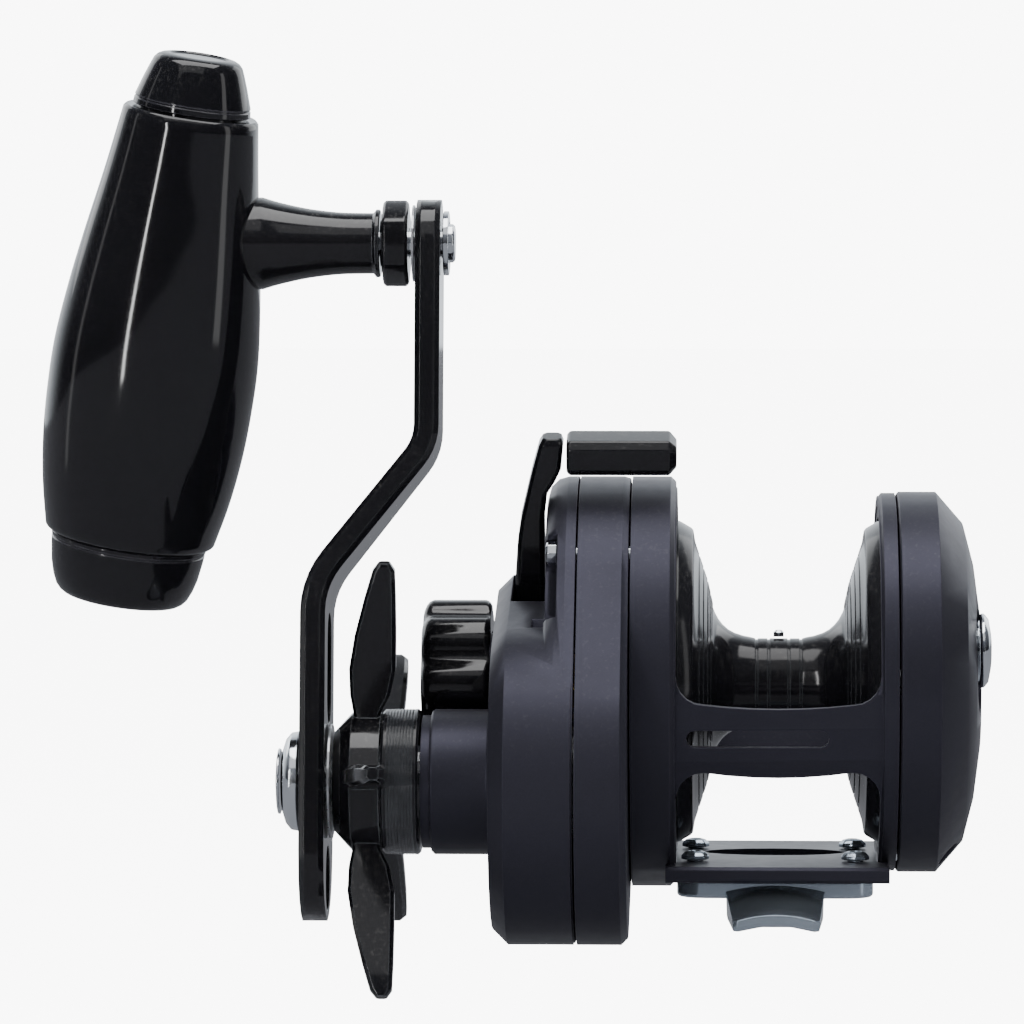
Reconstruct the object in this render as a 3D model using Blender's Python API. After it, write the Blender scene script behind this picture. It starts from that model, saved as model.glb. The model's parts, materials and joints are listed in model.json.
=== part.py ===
"""Baitcasting reel: a star-drag, left-hand reel with a power handle.

Sizes below are millimetres; the helpers turn them into Blender's metres.
X runs along the spool axis (handle at -X), -Y is the angler's side and +Z is up.
The origin is the centre of the reel foot's flat seat.
Angles around an axis are degrees from straight up, positive towards the angler.
"""

import bpy
import bmesh
from math import acos, atan2, cos, degrees, hypot, pi, radians, sin, sqrt, tan
from mathutils import Vector

MM = 0.001

# Clearances
GAP = 0.3              # between pieces that touch
RUN = 0.25             # radial clearance of turning pieces

# Steps round a turned piece
STEPS_LARGE = 36
STEPS_MEDIUM = 24
STEPS_SMALL = 12

# Gear train
MODULE = 0.7
DRIVE_TEETH = 64
PINION_TEETH = 10
TOOTH_SHIFT = 0.4      # profile shift: plus on the pinion, minus on the drive gear
BACKLASH = 0.06
PRESSURE_ANGLE = 20.0
GEAR_CENTRES = MODULE * (DRIVE_TEETH + PINION_TEETH) / 2
DRIVE_DIRECTION = 125.7
DRIVE_GEAR_X = -37.5
DRIVE_GEAR_WIDTH = 2.5

# Axes, as (y, z)
SPOOL_HEIGHT = 37.5


def around(axis, radius, angle):
    """Point (y, z) at a radius and angle about an axis."""
    turn = radians(angle)
    return (axis[0] - radius * sin(turn), axis[1] + radius * cos(turn))


SPOOL_AXIS = (0.0, SPOOL_HEIGHT)
DRIVE_AXIS = around(SPOOL_AXIS, GEAR_CENTRES, DRIVE_DIRECTION)

# Spool
FLANGE_R = 26.8
FLANGE_X = 18.0        # outer face of each flange
ARBOR_R = 7.2
SHAFT_R = 2.6

# Frame
RING_R = 34.2          # handle-side ring
RING_LEFT_X = -24.3
RING_WIDTH = 7.2
PALM_RING_R = 31.5
PALM_RING_X = 16.5
PALM_RING_WIDTH = 2.7
RING_BORE_R = FLANGE_R + 0.7
SHELL_WALL = 2.9
BAR_TOP = -1.7         # rear bar, measured from the spool axis
BAR_BOTTOM = -12.8
WINDOW_CORNER = 4.5
SLOT_LEFT = -15.2
SLOT_RIGHT = 7.9
SLOT_HEIGHT = 2.8
SLOT_LEVEL = -7.2
DECK_TOP = 8.5         # bottom plate
DECK_THICKNESS = 2.6
DECK_REAR = -21.0
DECK_FRONT = 24.0

# Gear housing
BOX_X = -32.9          # handle-side face of the gear box
BOX_WALL = 2.2
BOX_DRIVE_R = 26.5
COVER_BASE_X = -38.3
COVER_TOP_X = -46.7
COVER_SPOOL_R = 17.7
COVER_WALL = 2.2
RIM_WALL = 5.0
BASE_FLOOR = 3.3
BOSS_R = 11.9
BOSS_X = -56.7
CLUTCH_BORE_R = 9.7

# Drive shaft and drag
DRIVE_SHAFT_R = 4.0
SLEEVE_R = 6.4
WASHER_R = 16.5
WASHER_THICKNESS = 0.7
WASHER_SPACING = 0.9
COLLAR_X = -64.6
COLLAR_RIGHT_X = -58.5
STAR_HUB_R = 11.4
STAR_ARM_R = 36.9
STAR_ARMS = 5
STAR_FIRST_ANGLE = 11.0
STAR_ARM_THICKNESS = 3.3

# Handle
ARM_THICKNESS = 4.1
ARM_OUTER_X = -77.8    # outer face at the drive shaft
ARM_KNOB_X = -59.7     # outer face at the knob
CRANK = 88.6
ARM_LEAN = -6.65
ARM_TAIL = 22.8
ARM_WIDTH_DRIVE = 23.0
ARM_WIDTH_KNOB = 15.6
SPINDLE_R = 2.2

# Knob
KNOB_X = -100.2        # where the knob's own axis crosses the spindle line
KNOB_TILT = 9.2
KNOB_LEAN = 8.0
KNOB_R = 17.1
KNOB_TOP = 22.1
KNOB_BOTTOM = -49.7
CAP_TOP_LENGTH = 9.0
CAP_BOTTOM_LENGTH = 10.2

# Clutch
LEVER_ANGLE = 18.0
LEVER_TRAVEL = 20.0
LEVER_THICKNESS = 5.0
THUMB_BAR_LEFT = -35.0
THUMB_BAR_RIGHT = -16.9
THUMB_BAR_R = RING_R + 6.2
THUMB_BAR_DEPTH = 6.0
THUMB_BAR_WIDTH = 7.8

# Cast control knob, palm cover, clicker
CAST_R = 13.5
CAST_LEFT_X = -59.2
CAST_RIGHT_X = -47.8
CAST_LOBES = 8
PALM_R = 31.7
PALM_X = 19.5
PALM_TOP_X = 33.8
PALM_WALL = 4.3
BUTTON_Y = -12.0
BUTTON_RISE = 6.0
BUTTON_TRAVEL = 4.0

# Screws
SCREW_R = 1.2
SCREW_HOLE_R = 1.45
SCREW_HEAD_R = 2.0
SCREW_CIRCLE_R = RING_R - 3.2
PALM_SCREW_CIRCLE_R = PALM_R - 2.2
FOOT_SCREW_SPREAD = 13.2
FOOT_SCREW_Y = 10.4

# Foot
FOOT_TOP = DECK_TOP - DECK_THICKNESS - GAP
WING_THICKNESS = 3.0
WING_HALF = 16.2
TONGUE_REACH = 32.0
TONGUE_END_WIDTH = 14.1
TONGUE_BASE_WIDTH = 16.3
TONGUE_THICKNESS = 2.0

for old in list(bpy.data.objects):
    bpy.data.objects.remove(old, do_unlink=True)


# ---------------------------------------------------------------- materials

def make_material(name, color, roughness, metallic):
    material = bpy.data.materials.new(name)
    material.use_nodes = True
    shader = material.node_tree.nodes["Principled BSDF"]
    shader.inputs["Base Color"].default_value = (*color, 1.0)
    shader.inputs["Roughness"].default_value = roughness
    shader.inputs["Metallic"].default_value = metallic
    return material


SATIN = make_material("satin_anodised", (0.045, 0.045, 0.055), 0.42, 0.85)
GLOSS = make_material("gloss_black", (0.008, 0.008, 0.010), 0.12, 0.6)
CHROME = make_material("bright_chrome", (0.72, 0.76, 0.80), 0.12, 1.0)
GUNMETAL = make_material("gunmetal", (0.20, 0.23, 0.26), 0.22, 1.0)
STEEL = make_material("steel", (0.55, 0.56, 0.58), 0.3, 1.0)
BRASS = make_material("gear_brass", (0.65, 0.48, 0.22), 0.35, 1.0)
CARBON = make_material("drag_carbon", (0.05, 0.05, 0.05), 0.6, 0.0)


# ------------------------------------------------------------------ helpers

ORIGINS = {}


def pivot(name, position, parent=None):
    """Empty on a joint's axis that carries the pieces turning about it."""
    empty = bpy.data.objects.new(name, None)
    bpy.context.scene.collection.objects.link(empty)
    base = ORIGINS[parent.name] if parent else Vector()
    ORIGINS[name] = Vector(position)
    empty.location = (ORIGINS[name] - base) * MM
    empty.parent = parent
    return empty


def skin(name, rings, material, at=(0, 0, 0), group=None, loop=False):
    """Join rings of points into one closed body; a ring of one point is a tip."""
    mesh_data = bmesh.new()
    rows = [[mesh_data.verts.new(Vector(point) * MM) for point in ring] for ring in rings]
    spans = list(zip(rows, rows[1:]))
    if loop:
        spans.append((rows[-1], rows[0]))
    else:
        for row in (rows[0], rows[-1]):
            if len(row) > 2:
                mesh_data.faces.new(row)
    for near, far in spans:
        count = max(len(near), len(far))
        for i in range(count):
            j = (i + 1) % count
            corners = [near[i % len(near)], near[j % len(near)], far[j % len(far)], far[i % len(far)]]
            mesh_data.faces.new(list(dict.fromkeys(corners)))
    bmesh.ops.recalc_face_normals(mesh_data, faces=mesh_data.faces)
    if mesh_data.calc_volume(signed=True) < 0:
        bmesh.ops.reverse_faces(mesh_data, faces=mesh_data.faces)
    mesh = bpy.data.meshes.new(name)
    mesh_data.to_mesh(mesh)
    mesh_data.free()
    mesh.shade_smooth()
    mesh.set_sharp_from_angle(angle=radians(32))
    if material:
        mesh.materials.append(material)
    piece = bpy.data.objects.new(name, mesh)
    bpy.context.scene.collection.objects.link(piece)
    base = ORIGINS[group.name] if group else Vector()
    piece.location = (Vector(at) - base) * MM
    piece.parent = group
    return piece


def circle(x, radius, steps, phase=0.0):
    """Ring of points about the local X axis."""
    if radius == 0:
        return [(x, 0, 0)]
    turns = [2 * pi * i / steps + phase for i in range(steps)]
    return [(x, -radius * sin(turn), radius * cos(turn)) for turn in turns]


def turned(name, profile, material, axis=SPOOL_AXIS, group=None, steps=STEPS_MEDIUM):
    """Piece turned about an axis along X from (x, radius) points."""
    rings = [circle(x, radius, steps) for x, radius in profile]
    loop = profile[0][1] > 0 and profile[-1][1] > 0
    return skin(name, rings, material, (0, *axis), group, loop)


def tube(name, x0, x1, inner, outer, material, axis=SPOOL_AXIS, group=None, steps=STEPS_SMALL):
    """Plain ring between two X positions."""
    profile = [(x0, inner), (x0, outer), (x1, outer), (x1, inner)]
    return turned(name, profile, material, axis, group, steps)


def rod(name, x0, x1, radius, material=None, axis=SPOOL_AXIS, group=None, steps=STEPS_SMALL):
    """Plain round bar between two X positions."""
    profile = [(x0, 0), (x0, radius), (x1, radius), (x1, 0)]
    return turned(name, profile, material, axis, group, steps)


def layered(name, layers, material, at=(0, 0, 0), group=None, loop=False):
    """Piece built from (x, outline) layers, each outline a list of (y, z)."""
    rings = [[(x, y, z) for y, z in outline] for x, outline in layers]
    return skin(name, rings, material, at, group, loop)


def capsule(length_low, length_high, radius, steps=6):
    """Slot outline along its second coordinate."""
    points = []
    for i in range(steps + 1):
        turn = pi * i / steps
        points.append((radius * cos(turn), length_high + radius * sin(turn)))
    for i in range(steps + 1):
        turn = pi + pi * i / steps
        points.append((radius * cos(turn), length_low + radius * sin(turn)))
    return points


def shape(piece, add=(), cut=()):
    """Join solids to a piece, then cut others out of it."""
    for operation, tools in (("UNION", add), ("DIFFERENCE", cut)):
        for tool in tools:
            tool.hide_render = True
            tool.display_type = "WIRE"
            step = piece.modifiers.new(tool.name, "BOOLEAN")
            step.operation = operation
            step.solver = "EXACT"
            step.object = tool
            split = piece.modifiers.new(tool.name + "_faces", "TRIANGULATE")
            split.min_vertices = 5
    return piece


def two_circles(spool_r, drive_r, spool_steps=28, drive_steps=18):
    """Outline, about the spool axis, that wraps a circle on each axis."""
    spread = degrees(acos((spool_r - drive_r) / GEAR_CENTRES))
    drive = (DRIVE_AXIS[0] - SPOOL_AXIS[0], DRIVE_AXIS[1] - SPOOL_AXIS[1])
    points = []
    for i in range(spool_steps + 1):
        turn = DRIVE_DIRECTION + spread + (360 - 2 * spread) * i / spool_steps
        points.append(around((0, 0), spool_r, turn))
    for i in range(drive_steps + 1):
        turn = DRIVE_DIRECTION - spread + 2 * spread * i / drive_steps
        points.append(around(drive, drive_r, turn))
    return points


def sector(name, x0, x1, inner, outer, start, end, axis=SPOOL_AXIS, steps=8):
    """Wedge of a ring between two angles."""
    angles = [start + (end - start) * i / steps for i in range(steps + 1)]
    outline = [around((0, 0), outer, angle) for angle in angles]
    outline += [around((0, 0), inner, angle) for angle in reversed(angles)]
    return layered(name, [(x0, outline), (x1, outline)], None, (0, *axis))


def involute(angle):
    return tan(angle) - angle


def gear_outline(teeth, shift, phase, flank_steps=2):
    """Involute tooth outline; a tooth is centred on the phase angle."""
    pressure = radians(PRESSURE_ANGLE)
    pitch_r = MODULE * teeth / 2
    base_r = pitch_r * cos(pressure)
    root_r = MODULE * (teeth / 2 - 1.25 + shift)
    tip_r = MODULE * (teeth / 2 + 1 + shift)
    start_r = max(base_r, root_r)
    half = (pi / 2 + 2 * shift * tan(pressure)) / teeth - BACKLASH / pitch_r
    side = []
    if start_r > root_r:
        side.append((root_r, half + involute(pressure)))
    for i in range(flank_steps + 1):
        radius = start_r + (tip_r - start_r) * i / flank_steps
        side.append((radius, half + involute(pressure) - involute(acos(min(1, base_r / radius)))))
    points = []
    for tooth in range(teeth):
        centre = phase + 360 * tooth / teeth
        for radius, spread in side:
            points.append(around((0, 0), radius, centre - degrees(spread)))
        for radius, spread in reversed(side):
            points.append(around((0, 0), radius, centre + degrees(spread)))
    return points


def toothed_wheel(name, x0, x1, bore, tip_r, root_r, teeth, material, axis, group=None):
    """Ratchet wheel with saw teeth."""
    outline = []
    for tooth in range(teeth):
        start = 360 * tooth / teeth
        outline.append(around((0, 0), root_r, start))
        outline.append(around((0, 0), (root_r + tip_r) / 2, start + 180 / teeth))
        outline.append(around((0, 0), tip_r, start + 330 / teeth))
    inner = [around((0, 0), bore, 360 * i / len(outline)) for i in range(len(outline))]
    layers = [(x0, inner), (x0, outline), (x1, outline), (x1, inner)]
    return layered(name, layers, material, (0, *axis), group, loop=True)


def coil(name, x0, x1, radius, wire_r, turns, material, axis, group=None):
    """Compression spring along X."""
    steps = 10 * turns
    rings = []
    for i in range(steps + 1):
        turn = 2 * pi * turns * i / steps
        x = x0 + wire_r + (x1 - x0 - 2 * wire_r) * i / steps
        ring = []
        for k in range(4):
            side = 2 * pi * k / 4
            reach = radius + wire_r * cos(side)
            ring.append((x + wire_r * sin(side), reach * cos(turn), reach * sin(turn)))
        rings.append(ring)
    return skin(name, rings, material, (0, *axis), group)


def slab(name, outline, y0, y1, material=None, at=(0, 0, 0), group=None):
    """Piece with an (x, z) outline, straight along Y."""
    rings = [[(x, y, z) for x, z in outline] for y in (y0, y1)]
    return skin(name, rings, material, at, group)


def screw(name, head_x, direction, head_r, head_length, shank, axis, material=CHROME):
    """Socket screw along X: a chamfered head, then a plain shank."""
    rim = head_x + direction * 0.3
    under = head_x + direction * head_length
    socket = head_r * 0.5
    floor = head_x + direction * head_length * 0.6
    profile = [(floor, 0), (floor, socket), (head_x, socket), (head_x, head_r - 0.3), (rim, head_r)]
    profile += [(under, head_r), (under, SCREW_R), (under + direction * shank, SCREW_R)]
    profile += [(under + direction * shank, 0)]
    return turned(name, profile, material, axis, steps=8)


# -------------------------------------------------------------------- frame

RING_RIGHT_X = RING_LEFT_X + RING_WIDTH
PALM_RING_RIGHT_X = PALM_RING_X + PALM_RING_WIDTH
SHELL_LEFT_R = 32.4
SHELL_RIGHT_R = 31.0
SHELL_INNER_R = SHELL_RIGHT_R - SHELL_WALL + 1.2
FOOT_CENTRE_X = -0.6
LIP = 0.2              # shell left beside each ring by the windows


def make_frame():
    bevel = 0.8
    profile = [
        (RING_LEFT_X, RING_BORE_R), (RING_LEFT_X, RING_R), (RING_RIGHT_X - bevel, RING_R),
        (RING_RIGHT_X, RING_R - bevel), (RING_RIGHT_X, SHELL_LEFT_R), (PALM_RING_X, SHELL_RIGHT_R),
        (PALM_RING_X + 0.4, PALM_RING_R), (PALM_RING_RIGHT_X, PALM_RING_R),
        (PALM_RING_RIGHT_X, RING_BORE_R), (PALM_RING_X, RING_BORE_R),
        (PALM_RING_X, SHELL_INNER_R), (RING_RIGHT_X, SHELL_INNER_R), (RING_RIGHT_X, RING_BORE_R),
    ]
    frame = turned("frame", profile, SATIN, steps=STEPS_LARGE)
    left = RING_RIGHT_X + LIP
    right = PALM_RING_X - LIP
    reach = RING_R + 6
    at = (0, 0, SPOOL_HEIGHT)

    def edge(level, bow, side):
        """Window outline: rounded corners joined by a bowed edge."""
        centre = level + side * WINDOW_CORNER
        points = [(left, side * reach)]
        for i in range(6):
            turn = radians(90 * i / 5)
            drop = side * WINDOW_CORNER * sin(turn)
            points.append((left + WINDOW_CORNER * (1 - cos(turn)), centre - drop))
        for i in range(1, 6):
            share = i / 6
            x = left + WINDOW_CORNER + (right - left - 2 * WINDOW_CORNER) * share
            points.append((x, level - side * bow * 4 * share * (1 - share)))
        for i in range(6):
            turn = radians(90 * i / 5)
            drop = side * WINDOW_CORNER * cos(turn)
            points.append((right - WINDOW_CORNER * (1 - sin(turn)), centre - drop))
        points.append((right, side * reach))
        return points

    upper = slab("cut_upper_window", edge(BAR_TOP, 0.7, 1), -reach, reach, at=at)
    lower = slab("cut_lower_window", edge(BAR_BOTTOM, -0.9, -1), -reach, reach, at=at)
    half = SLOT_HEIGHT / 2
    slot_outline = [(z, y) for y, z in capsule(SLOT_LEFT + half, SLOT_RIGHT - half, half)]
    slot = slab("cut_bar_slot", slot_outline, -reach, reach, at=(0, 0, SPOOL_HEIGHT + SLOT_LEVEL))

    deck_left = RING_RIGHT_X - 1.5
    deck_right = PALM_RING_X + 1.5
    deck_low = DECK_TOP - DECK_THICKNESS
    deck_rings = []
    for z, inset in ((deck_low, 0.5), (deck_low + 0.5, 0), (DECK_TOP - 0.5, 0), (DECK_TOP, 0.5)):
        deck_rings.append([
            (deck_left, DECK_REAR + inset, z), (deck_right, DECK_REAR + inset, z),
            (deck_right, DECK_FRONT - inset, z), (deck_left, DECK_FRONT - inset, z),
        ])
    deck = skin("join_deck", deck_rings, None)
    lens = []
    for i in range(16):
        turn = 2 * pi * i / 16
        lens.append((FOOT_CENTRE_X + 11.8 * cos(turn), 4.5 + 5.5 * sin(turn)))
    lens_cut = skin("cut_deck_slot", [[(x, y, z) for x, y in lens] for z in (0, 12)], None)
    ring_screws = [
        rod(f"cut_ring_hole_{i}", RING_LEFT_X - 1, RING_LEFT_X + 5.3, SCREW_HOLE_R, axis=axis, steps=12)
        for i, axis in enumerate(COVER_SCREW_AXES)
    ]
    palm_screws = [
        rod(f"cut_palm_ring_hole_{i}", PALM_RING_X + 0.8, PALM_RING_RIGHT_X + 1, SCREW_HOLE_R, axis=axis, steps=12)
        for i, axis in enumerate(PALM_SCREW_AXES)
    ]
    foot_holes = [foot_hole(f"cut_deck_hole_{i}", x, y) for i, (x, y) in enumerate(FOOT_SCREWS)]
    shape(frame, cut=[upper, lower])
    shape(frame, add=[deck], cut=[slot, lens_cut, *ring_screws, *palm_screws, *foot_holes])


def upright(name, profile, x, y, material=None, steps=12):
    """Piece turned about a vertical axis from (z, radius) points."""
    rings = []
    for z, radius in profile:
        rings.append([(py, pz, z) for _, py, pz in circle(z, radius, steps)] if radius else [(0, 0, z)])
    return skin(name, rings, material, (x, y, 0))


def foot_hole(name, x, y):
    return upright(name, [(-2, 0), (-2, SCREW_HOLE_R), (12, SCREW_HOLE_R), (12, 0)], x, y)


def make_foot():
    hole_low = FOOT_TOP - WING_THICKNESS
    rounded = []
    corner = 4.5
    for corner_x, corner_y, start in ((1, 1, 0), (-1, 1, 90), (-1, -1, 180), (1, -1, 270)):
        for i in range(5):
            turn = radians(start + 90 * i / 4)
            x = FOOT_CENTRE_X + corner_x * (WING_HALF - corner) + corner * cos(turn)
            y = corner_y * (FOOT_SCREW_Y + 3.4 - corner) + corner * sin(turn)
            rounded.append((x, y))
    wing_rings = []
    for z, shrink in ((hole_low, 0.985), (hole_low + 0.4, 1), (FOOT_TOP - 0.4, 1), (FOOT_TOP, 0.985)):
        wing_rings.append([(FOOT_CENTRE_X + (x - FOOT_CENTRE_X) * shrink, y * shrink, z) for x, y in rounded])
    wings = skin("join_wings", wing_rings, None)

    tongue = []
    stations = [-1, -0.97, -0.85, -0.65, -0.45, -0.3, 0.3, 0.45, 0.65, 0.85, 0.97, 1]
    root = 0.38
    for station in stations:
        share = min(1, (1 - abs(station)) / (1 - root))
        half = (TONGUE_END_WIDTH + (TONGUE_BASE_WIDTH - TONGUE_END_WIDTH) * share) / 2
        tip_round = 0.9 if abs(station) == 1 else 1
        crown = TONGUE_THICKNESS + (FOOT_TOP - 0.6 - TONGUE_THICKNESS) * share ** 1.2
        y = TONGUE_REACH * station
        ring = []
        for i in range(9):
            across = -1 + i / 4
            ring.append((across * half * tip_round, y, crown - 1.0 * across * across))
        for across, drop in ((0.98, 0.8), (0.6, 0.3), (0.36, 0), (-0.36, 0), (-0.6, 0.3), (-0.98, 0.8)):
            ring.append((across * half * tip_round, y, -drop))
        tongue.append(ring)
    foot = skin("reel_foot", tongue, GUNMETAL, (FOOT_CENTRE_X, 0, 0))
    holes = [foot_hole(f"cut_foot_hole_{i}", x, y) for i, (x, y) in enumerate(FOOT_SCREWS)]
    shape(foot, add=[wings], cut=holes)


def make_foot_screws():
    low = DECK_TOP + GAP
    for i, (x, y) in enumerate(FOOT_SCREWS):
        profile = [(FOOT_TOP - WING_THICKNESS + 0.3, 0), (FOOT_TOP - WING_THICKNESS + 0.3, SCREW_R)]
        profile += [(low, SCREW_R), (low, 2.3), (low + 0.6, 2.3), (low + 1.2, 1.7), (low + 1.4, 1.0)]
        profile += [(low + 0.6, 0.8), (low + 0.6, 0)]
        upright(f"foot_screw_{i + 1}", profile, x, y, CHROME, steps=8)


FOOT_SCREWS = [
    (FOOT_CENTRE_X + sx * FOOT_SCREW_SPREAD, sy * FOOT_SCREW_Y) for sx in (-1, 1) for sy in (-1, 1)
]
COVER_SCREW_ANGLES = (44.0, -50.0, -125.0)
PALM_SCREW_ANGLES = (-20.0, -140.0, 160.0)
COVER_SCREW_AXES = [around(SPOOL_AXIS, SCREW_CIRCLE_R, angle) for angle in COVER_SCREW_ANGLES]
PALM_SCREW_AXES = [around(SPOOL_AXIS, PALM_SCREW_CIRCLE_R, angle) for angle in PALM_SCREW_ANGLES]


# -------------------------------------------------------------- gear housing

BOX_RIGHT_X = RING_LEFT_X - GAP
BOX_FLOOR_X = BOX_RIGHT_X - BOX_WALL
COVER_RIGHT_X = BOX_X - GAP
CAVITY_SPOOL_R = RING_R - RIM_WALL
CAVITY_DRIVE_R = BOX_DRIVE_R - COVER_WALL
SPOOL_BEARING_R = 5.0
DRIVE_BEARING_R = 6.0
SPOOL_BEARING_X = (BOX_FLOOR_X - 2.0, BOX_FLOOR_X + 1.0)
DRIVE_BEARING_X = (BOX_FLOOR_X - 3.8, BOX_FLOOR_X - 1.1)


def make_gear_box():
    whole = two_circles(RING_R, BOX_DRIVE_R)
    edge = two_circles(RING_R - 0.3, BOX_DRIVE_R - 1.1)
    box = layered("gear_box", [(BOX_X, whole), (BOX_RIGHT_X - 1.1, whole), (BOX_RIGHT_X, edge)],
                  SATIN, (0, *SPOOL_AXIS))
    cavity = two_circles(CAVITY_SPOOL_R, CAVITY_DRIVE_R)
    hollow = layered("cut_box_hollow", [(BOX_X - 1, cavity), (BOX_FLOOR_X, cavity)], None, (0, *SPOOL_AXIS))
    spool_boss = rod("join_spool_boss", SPOOL_BEARING_X[0] - GAP, BOX_FLOOR_X + 0.5, SPOOL_BEARING_R + 2.5,
                     steps=STEPS_MEDIUM)
    drive_boss = rod("join_drive_boss", DRIVE_BEARING_X[0] - 0.2, BOX_FLOOR_X + 0.5, DRIVE_BEARING_R + 2,
                     axis=DRIVE_AXIS, steps=STEPS_MEDIUM)
    spool_bore = rod("cut_spool_bore", SPOOL_BEARING_X[0] - 1, BOX_RIGHT_X + 1, SPOOL_BEARING_R + GAP)
    drive_bore = rod("cut_drive_bore", DRIVE_BEARING_X[0] - 1, BOX_FLOOR_X - 0.3, DRIVE_BEARING_R + GAP,
                     axis=DRIVE_AXIS)
    holes = [
        rod(f"cut_box_hole_{i}", BOX_X - 1, BOX_RIGHT_X + 1, SCREW_HOLE_R, axis=axis, steps=12)
        for i, axis in enumerate(COVER_SCREW_AXES)
    ]
    posts = []
    for i, turn in enumerate((-90, 90)):
        posts.append(turned(f"join_yoke_post_{i}", [
            (POST_LEFT_X, 0), (POST_LEFT_X, POST_R * 2), (POST_LEFT_X + 0.6, POST_R * 2),
            (POST_LEFT_X + 0.6, POST_R), (BOX_FLOOR_X + 0.5, POST_R), (BOX_FLOOR_X + 0.5, 0),
        ], None, around(SPOOL_AXIS, POST_CIRCLE_R, DRIVE_DIRECTION + turn), steps=12))
    posts.append(rod("join_pawl_post", RATCHET_X[0] - 1.0, BOX_FLOOR_X + 0.5, PAWL_POST_R, axis=PAWL_AXIS, steps=12))
    shape(box, cut=[hollow])
    shape(box, add=[spool_boss, drive_boss, *posts], cut=[spool_bore, drive_bore, *holes])


def make_gear_side_cover():
    corner = 3.5
    layers = [(COVER_RIGHT_X, two_circles(RING_R, BOX_DRIVE_R - 0.3))]
    for i in range(4):
        turn = radians(90 * i / 3)
        inset = corner * (1 - cos(turn))
        x = COVER_BASE_X + corner * (1 - sin(turn))
        layers.append((x, two_circles(RING_R - inset, BOX_DRIVE_R - 0.3 - inset)))
    cover = layered("gear_side_cover", layers, SATIN, (0, *SPOOL_AXIS))

    chamfer = 2.5
    full = two_circles(COVER_SPOOL_R, BOX_DRIVE_R)
    top = two_circles(COVER_SPOOL_R - chamfer, BOX_DRIVE_R - chamfer)
    housing = layered("join_housing", [(COVER_RIGHT_X - 0.3, full), (COVER_TOP_X + chamfer, full), (COVER_TOP_X, top)],
                      None, (0, *SPOOL_AXIS))
    boss = turned("join_boss", [
        (COVER_TOP_X + 1.5, 0), (COVER_TOP_X + 1.5, BOSS_R + 1), (COVER_TOP_X - 0.2, BOSS_R + 1),
        (COVER_TOP_X - 0.9, BOSS_R), (BOSS_X + 0.5, BOSS_R), (BOSS_X, BOSS_R - 0.5), (BOSS_X, BOSS_R - 1),
        (BOSS_X - 1.5, BOSS_R - 1), (BOSS_X - 1.5, 0),
    ], None, DRIVE_AXIS)
    cast_boss = rod("join_cast_boss", COVER_TOP_X - 5.1, COVER_TOP_X + 1.2, CAST_BOSS_R, steps=STEPS_MEDIUM)

    upper = two_circles(COVER_SPOOL_R - COVER_WALL, CAVITY_DRIVE_R)
    lower = two_circles(CAVITY_SPOOL_R, CAVITY_DRIVE_R - 0.3)
    upper_cut = layered("cut_upper_hollow", [(COVER_TOP_X + COVER_WALL, upper), (BOX_X + 1, upper)],
                        None, (0, *SPOOL_AXIS))
    lower_cut = layered("cut_lower_hollow", [(COVER_BASE_X + BASE_FLOOR, lower), (BOX_X + 2, lower)],
                        None, (0, *SPOOL_AXIS))
    clutch_bore = turned("cut_clutch_bore", [
        (BOSS_X - 3, 0), (BOSS_X - 3, CLUTCH_BORE_R), (ONE_WAY_X[1] + 0.4, CLUTCH_BORE_R),
        (ONE_WAY_X[1] + 0.4, SLEEVE_R + 0.6), (COVER_TOP_X + 4, SLEEVE_R + 0.6), (COVER_TOP_X + 4, 0),
    ], None, DRIVE_AXIS)
    shaft_bore = rod("cut_shaft_bore", COVER_TOP_X - 6, COVER_TOP_X + 3, SHIM_R + GAP)
    window = sector("cut_lever_window", COVER_TOP_X + 2.6, COVER_BASE_X - 0.15, COVER_SPOOL_R - 4,
                    COVER_SPOOL_R + 3, LEVER_ANGLE - 14, LEVER_ANGLE + LEVER_TRAVEL + 14)
    channel = sector("cut_screw_channel", COVER_BASE_X - 2, COVER_BASE_X + 2.1, 26.5, RING_R + 3, 41, 69)
    seats = []
    for i, axis in enumerate(COVER_SCREW_AXES):
        seats.append(turned(f"cut_cover_seat_{i}", [
            (COVER_BASE_X - 2, 0), (COVER_BASE_X - 2, SCREW_HEAD_R + GAP),
            (COVER_BASE_X + 2, SCREW_HEAD_R + GAP), (COVER_BASE_X + 2, SCREW_HOLE_R),
            (BOX_X + 1, SCREW_HOLE_R), (BOX_X + 1, 0),
        ], None, axis, steps=12))
        screw(f"cover_screw_{i + 1}", COVER_BASE_X + 0.2, 1, SCREW_HEAD_R, 1.8, 16.5, axis)
    shape(cover, add=[housing], cut=[upper_cut, lower_cut])
    shape(cover, add=[boss, cast_boss], cut=[clutch_bore, shaft_bore, window, channel, *seats])


CAST_BOSS_R = 8.0
SHIM_R = 3.0
ONE_WAY_X = (-56.1, -49.0)


# ------------------------------------------------------------ palm side cover

PALM_FLOOR_X = 27.0
RECESS_X = 29.3
BUTTON_AXIS = (BUTTON_Y, SPOOL_HEIGHT + BUTTON_RISE)
BUTTON_R = 6.7
PALM_BEARING_X = (23.6, 26.6)
CLICK_GEAR_X = (21.0, 22.6)


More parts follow.
